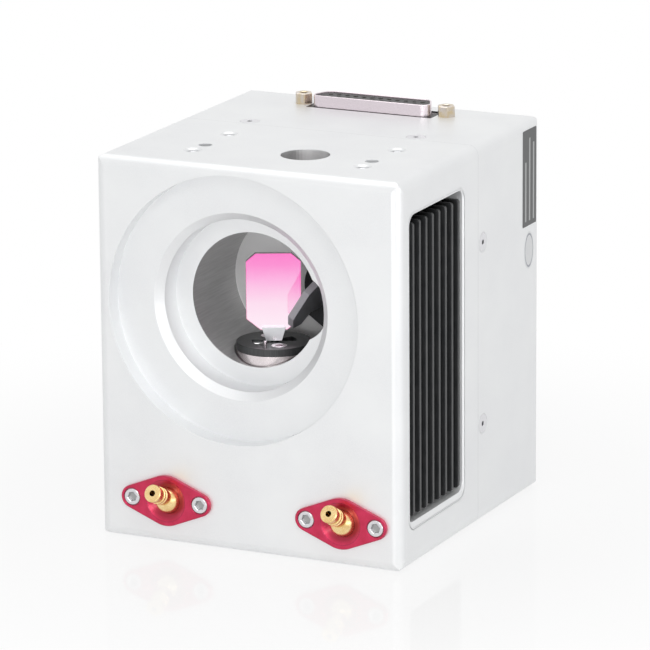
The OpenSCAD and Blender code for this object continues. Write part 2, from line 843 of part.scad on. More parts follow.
// Screws of both driver boards, driven from the middle of the head
module board_screws() {
    color([0.8, 0.8, 0.82]) {
        at_posts(x_post_y) translate([x_board_x, 0, 0]) rotate([0, -90, 0])
            socket_screw(m3_tap_r - 0.01, 2.5, 1.8, board_t + 6);
        at_posts(y_post_y) translate([y_board_x + board_t, 0, 0]) rotate([0, 90, 0])
            socket_screw(m3_tap_r - 0.01, 2.5, 1.8, board_t + 5);
    }
}

// Posts on the side walls of the cover
module board_posts() {
    wall = hollow_w / 2 + 1;
    at_posts(x_post_y) translate([x_board_x + board_t, 0, 0]) rotate([0, 90, 0])
        post(wall - x_board_x - board_t);
    at_posts(y_post_y) translate([y_board_x, 0, 0]) rotate([0, -90, 0]) post(wall + y_board_x);
}

module post(l) {
    difference() {
        cylinder(r = post_r, h = l);
        translate([0, 0, -1]) cylinder(r = m3_tap_r, h = 8);
    }
}

// ---------------------------------------------------------------- galvanometers

// Everything below is drawn in a galvo's own frame: mirror centre at the origin,
// shaft along Z, motor below. g is the list of one galvo's sizes.

function motor_top(g) = -g[0] - disc_t;
function motor_end(g) = motor_top(g) - motor_l;
function bearing_low(g, rear) = rear ? motor_end(g) + front_wall : motor_top(g) - front_wall - bearing_l;

module motor_case(g) {
    plug = front_wall + bearing_l;
    color([0.78, 0.76, 0.77]) difference() {
        translate([0, 0, motor_end(g)]) cylinder(r = g[1], h = motor_l);
        translate([0, 0, motor_end(g) + plug]) cylinder(r = g[1] - case_wall, h = motor_l - 2 * plug);
        translate([0, 0, motor_end(g) - 1]) cylinder(r = shaft_r + 0.6, h = motor_l + 2);
        for (rear = [false, true]) translate([0, 0, bearing_low(g, rear) - (rear ? 0 : 1)])
            cylinder(r = bearing_r + seat_gap, h = bearing_l + 1);
        at_disc_screws(g, motor_top(g) - 4) cylinder(r = m2_tap_r, h = 5);
    }
}

module stator(g) {
    plug = front_wall + bearing_l + coil_margin;
    color([0.72, 0.4, 0.2]) translate([0, 0, motor_end(g) + plug]) difference() {
        cylinder(r = g[1] - case_wall - seat_gap, h = motor_l - 2 * plug);
        translate([0, 0, -1]) cylinder(r = magnet_r + stator_gap, h = motor_l);
    }
}

// Ball bearing drawn as a ring with the groove between its races on both faces
module bearing(g, rear) {
    groove = (bearing_r + shaft_r) / 2;
    color([0.7, 0.7, 0.72]) translate([0, 0, bearing_low(g, rear)]) difference() {
        cylinder(r = bearing_r, h = bearing_l);
        translate([0, 0, -1]) cylinder(r = shaft_r + slip, h = bearing_l + 2);
        for (z = [-groove_d, bearing_l - groove_d]) translate([0, 0, z]) difference() {
            cylinder(r = groove + groove_w / 2, h = 2 * groove_d);
            translate([0, 0, -1]) cylinder(r = groove - groove_w / 2, h = 3);
        }
    }
}

module shaft(g) {
    low = motor_end(g) - shaft_tail;
    high = -g[0] + mount_gap + shaft_bite;
    color([0.8, 0.8, 0.82]) difference() {
        translate([0, 0, low]) cylinder(r = shaft_r, h = high - low);
        translate([0, 0, -g[0] - disc_t / 2]) rotate([0, 90, 0])
            cylinder(r = pin_r + seat_gap, h = 20, center = true);
    }
}

module magnet(g) {
    plug = front_wall + bearing_l + coil_margin + 1;
    color([0.45, 0.45, 0.47]) translate([0, 0, motor_end(g) + plug]) difference() {
        cylinder(r = magnet_r, h = motor_l - 2 * plug);
        translate([0, 0, -1]) cylinder(r = shaft_r + seat_gap, h = motor_l);
    }
}

// Cup over the position detector, with a notch for the leads
module detector_case(g) {
    color([0.2, 0.2, 0.22]) translate([0, 0, motor_end(g) - detector_l]) difference() {
        cylinder(r = detector_r, h = detector_l);
        translate([0, 0, cup_wall]) cylinder(r = detector_r - cup_wall, h = detector_l);
        translate([0, -detector_r, 3]) cube([5, 4, 3], center = true);
    }
}

module detector_board(g) {
    color([0.1, 0.35, 0.2]) translate([0, 0, motor_end(g) - detector_l + cup_wall])
        cylinder(r = detector_r - cup_wall - seat_gap, h = 1.2);
}

// Two-bladed vane that shades the detector's cells
module detector_vane(g) {
    color([0.15, 0.15, 0.16]) translate([0, 0, motor_end(g) - shaft_tail + 0.5]) difference() {
        intersection() {
            cylinder(r = detector_r - 2.5, h = vane_t);
            union() {
                cylinder(r = shaft_r + 1.2, h = vane_t);
                for (s = [-1, 1]) rotate([0, 0, s * 25])
                    translate([-detector_r, -2, 0]) cube([2 * detector_r, 4, vane_t]);
            }
        }
        translate([0, 0, -1]) cylinder(r = shaft_r + seat_gap, h = 3);
    }
}

// Places of the two screws of a stop disc, beside its slot, at height z
module at_disc_screws(g, z) {
    for (s = [-1, 1]) rotate([0, 0, g[3]]) translate([0, s * disc_screw_at, z]) children();
}

// Bow tie slot that lets the stop pin swing
module stop_slot(g) {
    half = pin_r + 0.05;
    reach = slot_r + 2;
    a = g[4] + slot_spare;
    intersection() {
        circle(slot_r);
        for (m = [0, 180]) rotate(m) polygon([[0, half],
            [reach * cos(a) - half * sin(a), reach * sin(a) + half * cos(a)],
            [reach * cos(a) - half * sin(a), -reach * sin(a) - half * cos(a)], [0, -half]]);
    }
}

module stop_disc(g, lobe) {
    color([0.05, 0.05, 0.055]) translate([0, 0, motor_top(g)]) difference() {
        union() {
            cylinder(r = g[2], h = disc_t);
            if (lobe) rotate([0, 0, lobe_angle]) translate([0, -lobe_w / 2, wall_gap])
                cube([lobe_reach, lobe_w, disc_t - wall_gap]);
        }
        translate([0, 0, -1]) cylinder(r = hub_r, h = disc_t + 2);
        translate([0, 0, -1]) linear_extrude(disc_t + 2) rotate(g[3]) stop_slot(g);
        at_disc_screws(g, -1) cylinder(r = m2_r, h = disc_t + 2);
        at_disc_screws(g, disc_t - m2_head_h) cylinder(r = disc_screw_r + 0.1, h = 3);
        rotate([0, 0, peg_angle]) translate([peg_at, 0, -1]) cylinder(r = peg_r + 0.01, h = disc_t + 2);
    }
}

// Two screws sunk in the disc and the peg that locates it
module disc_screws(g) {
    color([0.85, 0.8, 0.79]) {
        at_disc_screws(g, -g[0] - m2_head_h) socket_screw(m2_tap_r - 0.01, disc_screw_r, m2_head_h, 4);
        rotate([0, 0, peg_angle]) translate([peg_at, 0, motor_top(g)]) cylinder(r = peg_r, h = disc_t + peg_up);
    }
}

module stop_pin(g, angle) {
    color([0.6, 0.6, 0.62]) translate([0, 0, -g[0] - disc_t / 2]) rotate([0, 0, angle])
        rotate([0, 90, 0]) cylinder(r = pin_r, h = pin_l, center = true);
}

// Tapered holder that grips the mirror in a slot and the shaft in a bore
module mirror_mount(g, angle, mirror_low) {
    low = -g[0] + mount_gap;
    high = mirror_low + mirror_bite;
    color([0.82, 0.83, 0.85]) rotate([0, 0, angle]) difference() {
        rotate([90, 0, 0]) linear_extrude(mount_t, center = true) polygon([
            [-mount_low_w / 2, low], [mount_low_w / 2, low],
            [mount_top_w / 2, high - 0.5], [mount_top_w / 2, high],
            [-mount_top_w / 2, high], [-mount_top_w / 2, high - 0.5]]);
        translate([-body_w, -mirror_t / 2 - seat_gap, mirror_low - seat_gap])
            cube([2 * body_w, mirror_t + 2 * seat_gap, body_h]);
        translate([0, 0, low - 1]) cylinder(r = shaft_r + seat_gap, h = 1 + shaft_bite + seat_gap);
        translate([0, 0, low + grub_up]) rotate([90, 0, 0]) cylinder(r = grub_r + 0.01, h = mount_t);
    }
}

// Grub screw that locks the holder on the shaft
module mirror_screw(g, angle) {
    color([0.5, 0.5, 0.52]) rotate([0, 0, angle]) translate([0, 0, -g[0] + mount_gap + grub_up])
        rotate([90, 0, 0]) translate([0, 0, shaft_r + seat_gap])
            cylinder(r = grub_r, h = mount_t / 2 - shaft_r - 0.1);
}

// Mirror plate: outline in its own plane, shaft direction up
module mirror_plate(angle) {
    color([0.95, 0.55, 0.8]) rotate([0, 0, angle]) rotate([90, 0, 0])
        linear_extrude(mirror_t, center = true) children();
}

// Tall plate with small top corners and larger bottom corners cut off
module y_mirror_outline() {
    w = y_mirror_w / 2;
    top = y_mirror_high;
    low = y_mirror_low;
    polygon([[-w, low + 3.3], [-w + 4.1, low], [w - 4.1, low], [w, low + 3.3],
        [w, top - 2.4], [w - 2.8, top], [-w + 2.8, top], [-w, top - 2.4]]);
}

// Broad plate with its free corners cut off, stepped in to a neck that clears the Y mirror
module x_mirror_outline() {
    w = x_mirror_w / 2;
    top = x_mirror_high;
    low = x_mirror_low;
    polygon([[-3, low], [3, low], [neck_w, low + 2.5], [neck_w, low + 8], [w, low + 10.1],
        [w, top - 5.2], [w - 4.7, top], [-w + 4.7, top], [-w, top - 5.2],
        [-w, low + 10.1], [-neck_w, low + 8], [-neck_w, low + 2.5]]);
}

module x_motor_case() {
    x_frame() motor_case(X);
}

module x_stator() {
    x_frame() stator(X);
}

module x_front_bearing() {
    x_frame() bearing(X, false);
}

module x_rear_bearing() {
    x_frame() bearing(X, true);
}

module x_shaft() {
    x_frame() rotate([0, 0, x_tilt]) shaft(X);
}

module x_magnet() {
    x_frame() magnet(X);
}

module x_detector_case() {
    x_frame() detector_case(X);
}

module x_detector_board() {
    x_frame() detector_board(X);
}

module x_detector_vane() {
    x_frame() rotate([0, 0, x_tilt]) detector_vane(X);
}

module x_stop_disc() {
    x_frame() stop_disc(X, true);
}

module x_disc_screws() {
    x_frame() disc_screws(X);
}

module x_stop_pin() {
    x_frame() stop_pin(X, x_tilt);
}

module x_mirror_mount() {
    x_frame() mirror_mount(X, x_tilt, x_mirror_low);
}

module x_mirror_screw() {
    x_frame() mirror_screw(X, x_tilt);
}

module x_mirror() {
    x_frame() mirror_plate(x_tilt) x_mirror_outline();
}

module y_motor_case() {
    y_frame() motor_case(Y);
}

module y_stator() {
    y_frame() stator(Y);
}

module y_front_bearing() {
    y_frame() bearing(Y, false);
}

module y_rear_bearing() {
    y_frame() bearing(Y, true);
}

module y_shaft() {
    y_frame() rotate([0, 0, y_tilt]) shaft(Y);
}

module y_magnet() {
    y_frame() magnet(Y);
}

module y_detector_case() {
    y_frame() detector_case(Y);
}

module y_detector_board() {
    y_frame() detector_board(Y);
}

module y_detector_vane() {
    y_frame() rotate([0, 0, y_tilt]) detector_vane(Y);
}

module y_stop_disc() {
    y_frame() stop_disc(Y, false);
}

module y_disc_screws() {
    y_frame() disc_screws(Y);
}

module y_stop_pin() {
    y_frame() stop_pin(Y, y_tilt);
}

module y_mirror_mount() {
    y_frame() mirror_mount(Y, y_tilt, y_mirror_low);
}

module y_mirror_screw() {
    y_frame() mirror_screw(Y, y_tilt);
}

module y_mirror() {
    y_frame() mirror_plate(y_tilt) y_mirror_outline();
}

// Screw across the split clamp of the X motor
module x_clamp_screw() {
    color([0.7, 0.7, 0.72]) translate([x_axis_x + clamp_ear / 2 + 1, seam_y + clamp_l / 2 + 1,
        x_axis_z + clamp_r + clamp_ear / 2])
        rotate([0, 90, 0]) socket_screw(m3_r - 0.05, 2.7, 2.5, clamp_ear + 2);
}

// Grub screw that presses on the Y motor from behind
module y_clamp_screw() {
    low = y_axis_y + y_motor_r + motor_gap;
    color([0.7, 0.7, 0.72]) translate([output_x, 0, y_clamp_z]) difference() {
        along_y(m3_r, low, low + set_screw_l);
        translate([0, low + set_screw_l - 1.6, 0]) rotate([-90, 0, 0]) cylinder(r = 0.85, h = 3, $fn = 6);
    }
}

// Cap under the Y motor
module motor_cap() {
    color([0.93, 0.94, 0.95]) difference() {
        translate([output_x, y_axis_y, cap_recess]) cylinder(r = cap_r - 0.1, h = cap_t);
        at_cap_screws() translate([0, 0, -cap_t]) mirror([0, 0, 1])
            countersink(m3_r + 0.1, cover_head_r, cap_t + 1);
    }
}

module cap_screws() {
    color([0.8, 0.8, 0.82]) at_cap_screws() translate([0, 0, -cap_t]) mirror([0, 0, 1])
        countersunk(m3_tap_r - 0.01, cover_head_r - 0.05, 8);
}

front_housing();
rear_cover();
cover_screws();
heat_sink();
heat_sink_screws();
left_flange();
right_flange();
flange_screws();
left_pointer();
right_pointer();
left_pointer_diode();
right_pointer_diode();
left_ball_seat();
right_ball_seat();
connector_shell();
connector_insulator();
connector_contacts();
jackscrews();
jack_nuts();
interface_board();
x_driver_board();
y_driver_board();
board_screws();
x_motor_case();
x_stator();
x_front_bearing();
x_rear_bearing();
x_shaft();
x_magnet();
x_detector_case();
x_detector_board();
x_detector_vane();
x_stop_disc();
x_disc_screws();
x_stop_pin();
x_mirror_mount();
x_mirror();
x_mirror_screw();
x_clamp_screw();
y_motor_case();
y_stator();
y_front_bearing();
y_rear_bearing();
y_shaft();
y_magnet();
y_detector_case();
y_detector_board();
y_detector_vane();
y_stop_disc();
y_disc_screws();
y_stop_pin();
y_mirror_mount();
y_mirror();
y_mirror_screw();
y_clamp_screw();
motor_cap();
cap_screws();
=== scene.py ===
"""Looks of the two-axis galvo scan head: finishes, small trim, light and camera.

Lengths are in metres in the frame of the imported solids: +Z up, lens seat facing -Y.
"""

import json
import math

import bmesh
import bpy
from mathutils import Matrix, Vector


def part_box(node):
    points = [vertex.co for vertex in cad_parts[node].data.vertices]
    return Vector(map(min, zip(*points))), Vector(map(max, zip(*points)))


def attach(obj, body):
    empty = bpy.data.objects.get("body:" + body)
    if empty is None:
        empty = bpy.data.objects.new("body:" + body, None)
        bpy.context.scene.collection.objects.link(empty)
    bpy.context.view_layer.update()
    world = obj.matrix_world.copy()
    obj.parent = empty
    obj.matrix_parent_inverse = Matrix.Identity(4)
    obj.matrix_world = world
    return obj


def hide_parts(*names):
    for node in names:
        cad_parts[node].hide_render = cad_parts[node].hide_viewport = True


MM = 0.001
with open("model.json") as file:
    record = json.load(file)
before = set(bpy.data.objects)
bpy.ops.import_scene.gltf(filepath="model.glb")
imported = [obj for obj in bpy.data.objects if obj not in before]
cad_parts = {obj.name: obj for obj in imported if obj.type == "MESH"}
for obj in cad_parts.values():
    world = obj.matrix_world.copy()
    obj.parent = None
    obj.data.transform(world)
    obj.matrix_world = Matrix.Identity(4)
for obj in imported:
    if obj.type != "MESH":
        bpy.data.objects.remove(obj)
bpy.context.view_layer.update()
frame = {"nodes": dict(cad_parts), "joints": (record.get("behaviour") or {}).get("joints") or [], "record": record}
nodes = frame["nodes"]


def joint(name):
    """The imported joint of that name."""
    return next(j for j in frame["joints"] if j["name"] == name)


def mount(name):
    """The record's mount of that name."""
    return next(m for m in frame["record"]["mounts"] if m["name"] == name)


# ---------------------------------------------------------------- places taken from the frame

housing_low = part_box("front_housing")[0]
cover_low, cover_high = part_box("rear_cover")
FACE_Y = housing_low.y
RIGHT_X = cover_high.x
TOP_Z = cover_high.z
REAR_Y = cover_high.y
SEAM_Y = cover_low.y
X_AXIS = Vector(joint("x_scan")["pos_m"])
LENS = Vector(mount("lens_seat")["pos_m"])
BEAM = Vector(mount("beam_entry")["pos_m"])
PLUG = Vector(mount("connector_jacks")["pos_m"])
JACK_DX = mount("connector_jacks")["dims"]["spacing_x_mm"] * MM
JACK_HOLE_R = mount("connector_jacks")["dims"]["hole_r_mm"] * MM
SEAT_R = mount("lens_seat")["dims"]["r_mm"] * MM
BEAM_R = mount("beam_entry")["dims"]["r_mm"] * MM
CHAMBER_R = 20.15 * MM
X_POCKET_R = 10.15 * MM
THROAT_DEPTH = 14.8 * MM
CHAMBER_DEPTH = 44 * MM
X_MIRROR_TILT = math.radians(57)
Y_MIRROR_TURN = math.radians(26)

# Painted shadow of the gap round the connector, as half its width and half its depth
PLUG_SHADE_DX = 20.6 * MM
PLUG_SHADE_DY = 4.8 * MM

# Window of the heat sink, as depths behind the lens face, and the fins in it
WINDOW_FROM = 6 * MM
WINDOW_TO = 43.9 * MM
WINDOW_EDGE = 0.5 * MM
WINDOW_DEPTH = 8.5 * MM
FIN_T = 1.3 * MM
FIN_PITCH = 4.5 * MM
FIN_COUNT = 8
FIN_BACK = 1.2 * MM
SINK_PLATE = 3 * MM

# Flanges of the pointers and their screws
FLANGE_OUT = 1.2 * MM
FLANGE_MIDDLE_R = 7.6 * MM
FLANGE_END_R = 3.45 * MM
FLANGE_SCREW_DX = 11 * MM
FLANGE_HOLE_R = 2.6 * MM
FLANGE_HEAD_R = 2.5 * MM
SOCKET_FLOOR = 0.25 * MM
BOWL_R = 6.2 * MM
BALL_HOLE_R = 4.03 * MM
BALL_R = 4.15 * MM
SEAT_OUTER_R = 5.8 * MM

# Half sizes of the D connector's outline, and its heights over the top face
D_WIDE = 19.15 * MM
D_NARROW = 17.75 * MM
D_HALF_DEPTH = 4.18 * MM
D_CORNER_R = 2.6 * MM
SHELL_UP = 3.6 * MM
FACE_UP = 3.1 * MM
JACK_UP = 3.3 * MM
JACK_R = 2.75 * MM


# ---------------------------------------------------------------- shader helpers

class Shader:
    """A principled material and short calls that add nodes to it."""

    def __init__(self, name, **values):
        self.material = bpy.data.materials.new(name)
        self.material.use_nodes = True
        self.tree = self.material.node_tree
        self.bsdf = self.tree.nodes["Principled BSDF"]
        for socket, value in values.items():
            self.bsdf.inputs[socket.replace("_", " ")].default_value = value
        self._object = None

    def add(self, kind, **props):
        node = self.tree.nodes.new(kind)
        for key, value in props.items():
            setattr(node, key, value)
        return node

    def link(self, source, target):
        self.tree.links.new(source, target)

    def feed(self, node, index, value):
        """Sets an input to a number, or links it to another node's output."""
        if hasattr(value, "links"):
            self.link(value, node.inputs[index])
        else:
            node.inputs[index].default_value = value

    def math(self, operation, a, b=0.0):
        node = self.add("ShaderNodeMath", operation=operation)
        self.feed(node, 0, a)
        self.feed(node, 1, b)
        return node.outputs[0]

    def place(self):
        """Object coordinates, which are the frame's own metres."""
        if self._object is None:
            self._object = self.add("ShaderNodeTexCoord").outputs["Object"]
        return self._object

    def axes(self):
        split = self.add("ShaderNodeSeparateXYZ")
        self.link(self.place(), split.inputs[0])
        return split.outputs

    def noise(self, size, detail=2.0, stretch=None):
        """Noise whose features are about that many metres across."""
        source = self.place()
        if stretch:
            mapping = self.add("ShaderNodeMapping")
            mapping.inputs["Scale"].default_value = stretch
            self.link(source, mapping.inputs["Vector"])
            source = mapping.outputs[0]
        node = self.add("ShaderNodeTexNoise")
        node.inputs["Scale"].default_value = 1 / size
        node.inputs["Detail"].default_value = detail
        self.link(source, node.inputs["Vector"])
        return node.outputs["Fac"]

    def ramp(self, factor, stops):
        """Colour or grey ramp: stops are (place, colour)."""
        node = self.add("ShaderNodeValToRGB")
        ramp = node.color_ramp
        while len(ramp.elements) < len(stops):
            ramp.elements.new(0.5)
        for element, (at, colour) in zip(ramp.elements, stops):
            element.position = at
            element.color = (*colour, 1)
        self.feed(node, 0, factor)
        return node.outputs["Color"]

    def mix(self, factor, a, b):
        node = self.add("ShaderNodeMix", data_type="RGBA")
        self.feed(node, 0, factor)
        for index, colour in ((6, a), (7, b)):
            self.feed(node, index, colour if hasattr(colour, "links") else (*colour, 1))
        return node.outputs[2]

    def span(self, value, low, high):
        """Value mapped so that low gives 0 and high gives 1, held between them."""
        node = self.add("ShaderNodeMapRange", clamp=True)
        self.feed(node, 0, value)
        node.inputs[1].default_value = low
        node.inputs[2].default_value = high
        return node.outputs[0]

    def radius(self, a, b, at_a, at_b):
        """Distance from an axis at (at_a, at_b) in the plane of two coordinates."""
        da = self.math("SUBTRACT", a, at_a)
        db = self.math("SUBTRACT", b, at_b)
        return self.math("SQRT", self.math("ADD", self.math("MULTIPLY", da, da),
                                           self.math("MULTIPLY", db, db)))

    def bump(self, height, distance, strength, normal=None):
        node = self.add("ShaderNodeBump")
        node.inputs["Strength"].default_value = strength
        node.inputs["Distance"].default_value = distance
        self.link(height, node.inputs["Height"])
        if normal is not None:
            self.link(normal, node.inputs["Normal"])
        return node.outputs[0]

    def soft_edges(self, radius):
        """Normals that round off sharp edges by that radius."""
        node = self.add("ShaderNodeBevel", samples=6)
        node.inputs["Radius"].default_value = radius
        return node.outputs[0]

    def edges(self, radius):
        """1 within about that radius of a sharp edge, 0 on the flats."""
        flat = self.add("ShaderNodeNewGeometry").outputs["True Normal"]
        dot = self.add("ShaderNodeVectorMath", operation="DOT_PRODUCT")
        self.link(self.soft_edges(radius), dot.inputs[0])
        self.link(flat, dot.inputs[1])
        return self.span(dot.outputs["Value"], 0.995, 0.90)

    def set(self, socket, value):
        self.feed(self.bsdf, socket, value)


def grey(v):
    return (v, v, v)


# ---------------------------------------------------------------- finishes

def anodised_body(name):
    """Bead blasted, clear anodised aluminium with turned bores and a fine seam; painted shade on the walls inside
    the chamber and the beam hole, painted light on those walls that face along Y, and a painted shadow on the top
    face round the connector.
    """
    s = Shader(name, Metallic=0.5, IOR=1.5)
    x, y, z = s.axes()
    grain = s.noise(0.16 * MM, 3)
    cloud = s.noise(18 * MM, 3)
    skin = s.mix(s.span(grain, 0.3, 0.7), (0.80, 0.81, 0.825), (0.87, 0.877, 0.885))
    skin = s.mix(s.span(cloud, 0.3, 0.7), skin, (0.875, 0.885, 0.89))
    ring = s.radius(x, z, LENS.x, LENS.z)
    pocket = s.radius(x, z, X_AXIS.x, X_AXIS.z)
    beyond = s.math("GREATER_THAN", y, FACE_Y + THROAT_DEPTH + 0.05 * MM)
    before = s.math("LESS_THAN", y, FACE_Y + CHAMBER_DEPTH)
    inside = s.math("MAXIMUM", s.math("LESS_THAN", ring, CHAMBER_R + 0.1 * MM),
                    s.math("LESS_THAN", pocket, X_POCKET_R + 0.1 * MM))
    in_chamber = s.math("MULTIPLY", s.math("MULTIPLY", beyond, before), inside)
    hole = s.radius(x, y, BEAM.x, BEAM.y)
    in_hole = s.math("MULTIPLY", s.math("LESS_THAN", hole, BEAM_R + 0.05 * MM),
                     s.math("LESS_THAN", z, TOP_Z - 0.2 * MM))
    shaded_inside = s.math("MAXIMUM", in_chamber, in_hole)
    # Painted shade and light: walls inside the chamber and the beam hole are a darker grey than the skin, and
    # those that face along Y get a painted light near white
    streak = s.noise(0.5 * MM, 3, (1, 0.05, 1))
    wall = s.mix(s.span(streak, 0.3, 0.7), grey(0.46), grey(0.56))
    facing = s.add("ShaderNodeSeparateXYZ")
    s.link(s.add("ShaderNodeNewGeometry").outputs["True Normal"], facing.inputs[0])
    metal = s.mix(s.span(s.math("ABSOLUTE", facing.outputs[1]), 0.6, 0.9), wall, grey(0.92))
    colour = s.mix(shaded_inside, skin, metal)
    # Painted shadow: the top face is near black in a band round the connector, for the shade in the gap of its
    # cut-out
    aside = s.math("ABSOLUTE", s.math("SUBTRACT", x, PLUG.x))
    along = s.math("ABSOLUTE", s.math("SUBTRACT", y, PLUG.y))
    around = s.math("MAXIMUM", aside, s.math("ADD", along, PLUG_SHADE_DX - PLUG_SHADE_DY))
    on_top = s.math("GREATER_THAN", z, TOP_Z - 0.5 * MM)
    slot = s.math("MULTIPLY", s.math("LESS_THAN", around, PLUG_SHADE_DX), on_top)
    colour = s.mix(slot, colour, grey(0.03))
    seam = s.math("LESS_THAN", s.math("ABSOLUTE", s.math("SUBTRACT", y, SEAM_Y)), 0.07 * MM)
    colour = s.mix(s.math("MULTIPLY", seam, 0.4), colour, grey(0.35))
    s.set("Base Color", colour)
    s.set("Roughness", s.math("ADD", 0.36, s.math("MULTIPLY", s.span(cloud, 0.2, 0.8), 0.08)))
    in_seat = s.math("MULTIPLY", s.math("LESS_THAN", ring, SEAT_R + 0.1 * MM),
                     s.math("GREATER_THAN", y, FACE_Y + 0.1 * MM))
    turned = s.math("SINE", s.math("MULTIPLY", ring, 2 * math.pi / (0.22 * MM)))
    turned = s.math("MULTIPLY", turned, s.math("MULTIPLY", in_seat, 0.5))
    height = s.math("ADD", grain, turned)
    s.set("Normal", s.bump(height, 0.008 * MM, 0.6, s.soft_edges(0.25 * MM)))
    return s.material


def black_anodised(name, tip_x=None):
    """Dyed aluminium, near black with faint saw lines; with tip_x, painted shade makes it almost black away from
    that X, in among the fins.
    """
    s = Shader(name, Metallic=0.3, IOR=1.5)
    lines = s.noise(0.25 * MM, 2, (1, 1, 0.06))
    cloud = s.noise(6 * MM, 2)
    dark = s.mix(s.span(lines, 0.3, 0.7), (0.026, 0.028, 0.030), (0.055, 0.058, 0.061))
    dark = s.mix(s.math("MULTIPLY", s.span(cloud, 0.3, 0.7), 0.3), dark, grey(0.10))
    if tip_x is not None:
        # Painted shade: almost black more than 4.5 mm in from tip_x, where the fins' sides and base sit in shadow
        unshaded_near_tip = s.span(s.axes()[0], tip_x - 4.5 * MM, tip_x - 0.2 * MM)
        dark = s.mix(unshaded_near_tip, grey(0.003), dark)
    s.set("Base Color", dark)
    s.set("Roughness", s.math("ADD", 0.33, s.math("MULTIPLY", lines, 0.15)))
    s.set("Normal", s.bump(lines, 0.01 * MM, 0.5, s.soft_edges(0.3 * MM)))
    return s.material


def red_anodised(name):
    """Crimson dyed aluminium, glossy, with painted shade along its edges and inside the bowl round each ball."""
    s = Shader(name, Metallic=0.6, IOR=1.5, Coat_Weight=0.3, Coat_Roughness=0.12)
    cloud = s.noise(3 * MM, 3)
    fine = s.noise(0.12 * MM, 3)
    crimson_and_shade = s.mix(s.span(cloud, 0.3, 0.7), (0.50, 0.012, 0.055), (0.64, 0.024, 0.095))
    crimson_and_shade = s.mix(s.math("MULTIPLY", s.span(fine, 0.35, 0.7), 0.25), crimson_and_shade, (0.72, 0.04, 0.13))
    x, y, z = s.axes()
    # Painted shade: darker red inside the bowl round each ball
    balls = [joint(side + "_pointer_tilt")["pos_m"] for side in ("left", "right")]
    nearest = s.math("MINIMUM", *(s.radius(x, z, ball[0], ball[2]) for ball in balls))
    crimson_and_shade = s.mix(s.span(nearest, BOWL_R, 0.8 * BOWL_R), crimson_and_shade, (0.36, 0.009, 0.038))
    # Painted shade: dark red along the edges
    edge_shade = s.math("MULTIPLY", s.edges(0.3 * MM), 0.8)
    s.set("Base Color", s.mix(edge_shade, crimson_and_shade, (0.20, 0.01, 0.06)))
    s.set("Roughness", s.math("ADD", 0.24, s.math("MULTIPLY", fine, 0.12)))
    s.set("Normal", s.bump(fine, 0.006 * MM, 0.6, s.soft_edges(0.25 * MM)))
    return s.material


def turned_brass(name):
    """Bright turned brass with fine tool marks and a little tarnish."""
    s = Shader(name, Metallic=1.0)
    marks = s.noise(0.14 * MM, 2, (0.3, 1, 1))
    tarnish = s.noise(2.2 * MM, 3)
    gold = s.mix(s.span(marks, 0.3, 0.7), (0.84, 0.60, 0.26), (0.93, 0.74, 0.40))
    dulled = s.math("MULTIPLY", s.span(tarnish, 0.45, 0.8), 0.6)
    s.set("Base Color", s.mix(dulled, gold, (0.62, 0.33, 0.09)))
    s.set("Roughness", s.math("ADD", 0.2, s.math("MULTIPLY", marks, 0.12)))
    s.set("Normal", s.bump(marks, 0.006 * MM, 0.6, s.soft_edges(0.12 * MM)))
    return s.material


def plain_metal(name, low, high, roughness, grain=0.1, soft=0.12, tint=None):
    """Machined metal between two colours, with fine marks and an optional second tint."""
    s = Shader(name, Metallic=1.0)
    marks = s.noise(grain * MM, 3)
    cloud = s.noise(1.8 * MM, 2)
    colour = s.mix(s.span(marks, 0.3, 0.7), low, high)
    if tint:
        colour = s.mix(s.math("MULTIPLY", s.span(cloud, 0.4, 0.65), 0.8), colour, tint)
    s.set("Base Color", colour)
    s.set("Roughness", s.math("ADD", roughness, s.math("MULTIPLY", marks, 0.12)))
    s.set("Normal", s.bump(marks, 0.005 * MM, 0.6, s.soft_edges(soft * MM)))
    return s.material


def plain_plastic(name, low, high, roughness, grain=0.2):
    """Moulded or painted surface with a fine grain."""
    s = Shader(name, Metallic=0.0, IOR=1.5)
    marks = s.noise(grain * MM, 3)
    s.set("Base Color", s.mix(s.span(marks, 0.3, 0.7), low, high))
    s.set("Roughness", s.math("ADD", roughness, s.math("MULTIPLY", marks, 0.12)))
    s.set("Normal", s.bump(marks, 0.01 * MM, 0.5))
    return s.material


def circuit_board(name):
    """Green solder mask with darker copper fields under it."""
    s = Shader(name, Metallic=0.0, IOR=1.5, Coat_Weight=0.3, Coat_Roughness=0.2)
    cell = s.add("ShaderNodeTexVoronoi", distance="CHEBYCHEV")
    cell.inputs["Scale"].default_value = 1 / (3 * MM)
    s.link(s.place(), cell.inputs["Vector"])
    fine = s.noise(0.3 * MM, 2)
    field = s.span(cell.outputs["Distance"], 0.3, 0.36)
    s.set("Base Color", s.mix(field, (0.012, 0.11, 0.05), (0.02, 0.2, 0.09)))
    s.set("Roughness", s.math("ADD", 0.3, s.math("MULTIPLY", fine, 0.15)))
    s.set("Normal", s.bump(fine, 0.01 * MM, 0.4))
    return s.material


def pink_coating(name, low, high):
    """Mirror coating whose pink deepens from the holder towards the free end."""
    s = Shader(name, Metallic=1.0)
    x, y, z = s.axes()
    rise = s.span(z, low, high)
    haze = s.noise(3 * MM, 2)
    rise = s.math("ADD", rise, s.math("MULTIPLY", s.math("SUBTRACT", haze, 0.5), 0.05))
    pink = s.ramp(rise, [
        (0.0, (1.0, 0.86, 0.94)), (0.35, (0.99, 0.74, 0.88)), (0.65, (0.99, 0.48, 0.77)),
        (0.85, (0.98, 0.30, 0.66)), (1.0, (0.98, 0.24, 0.62))])
    s.set("Base Color", s.mix(s.edges(0.35 * MM), pink, (0.95, 0.10, 0.45)))
    s.set("Roughness", s.math("ADD", 0.07, s.math("MULTIPLY", haze, 0.04)))
    return s.material


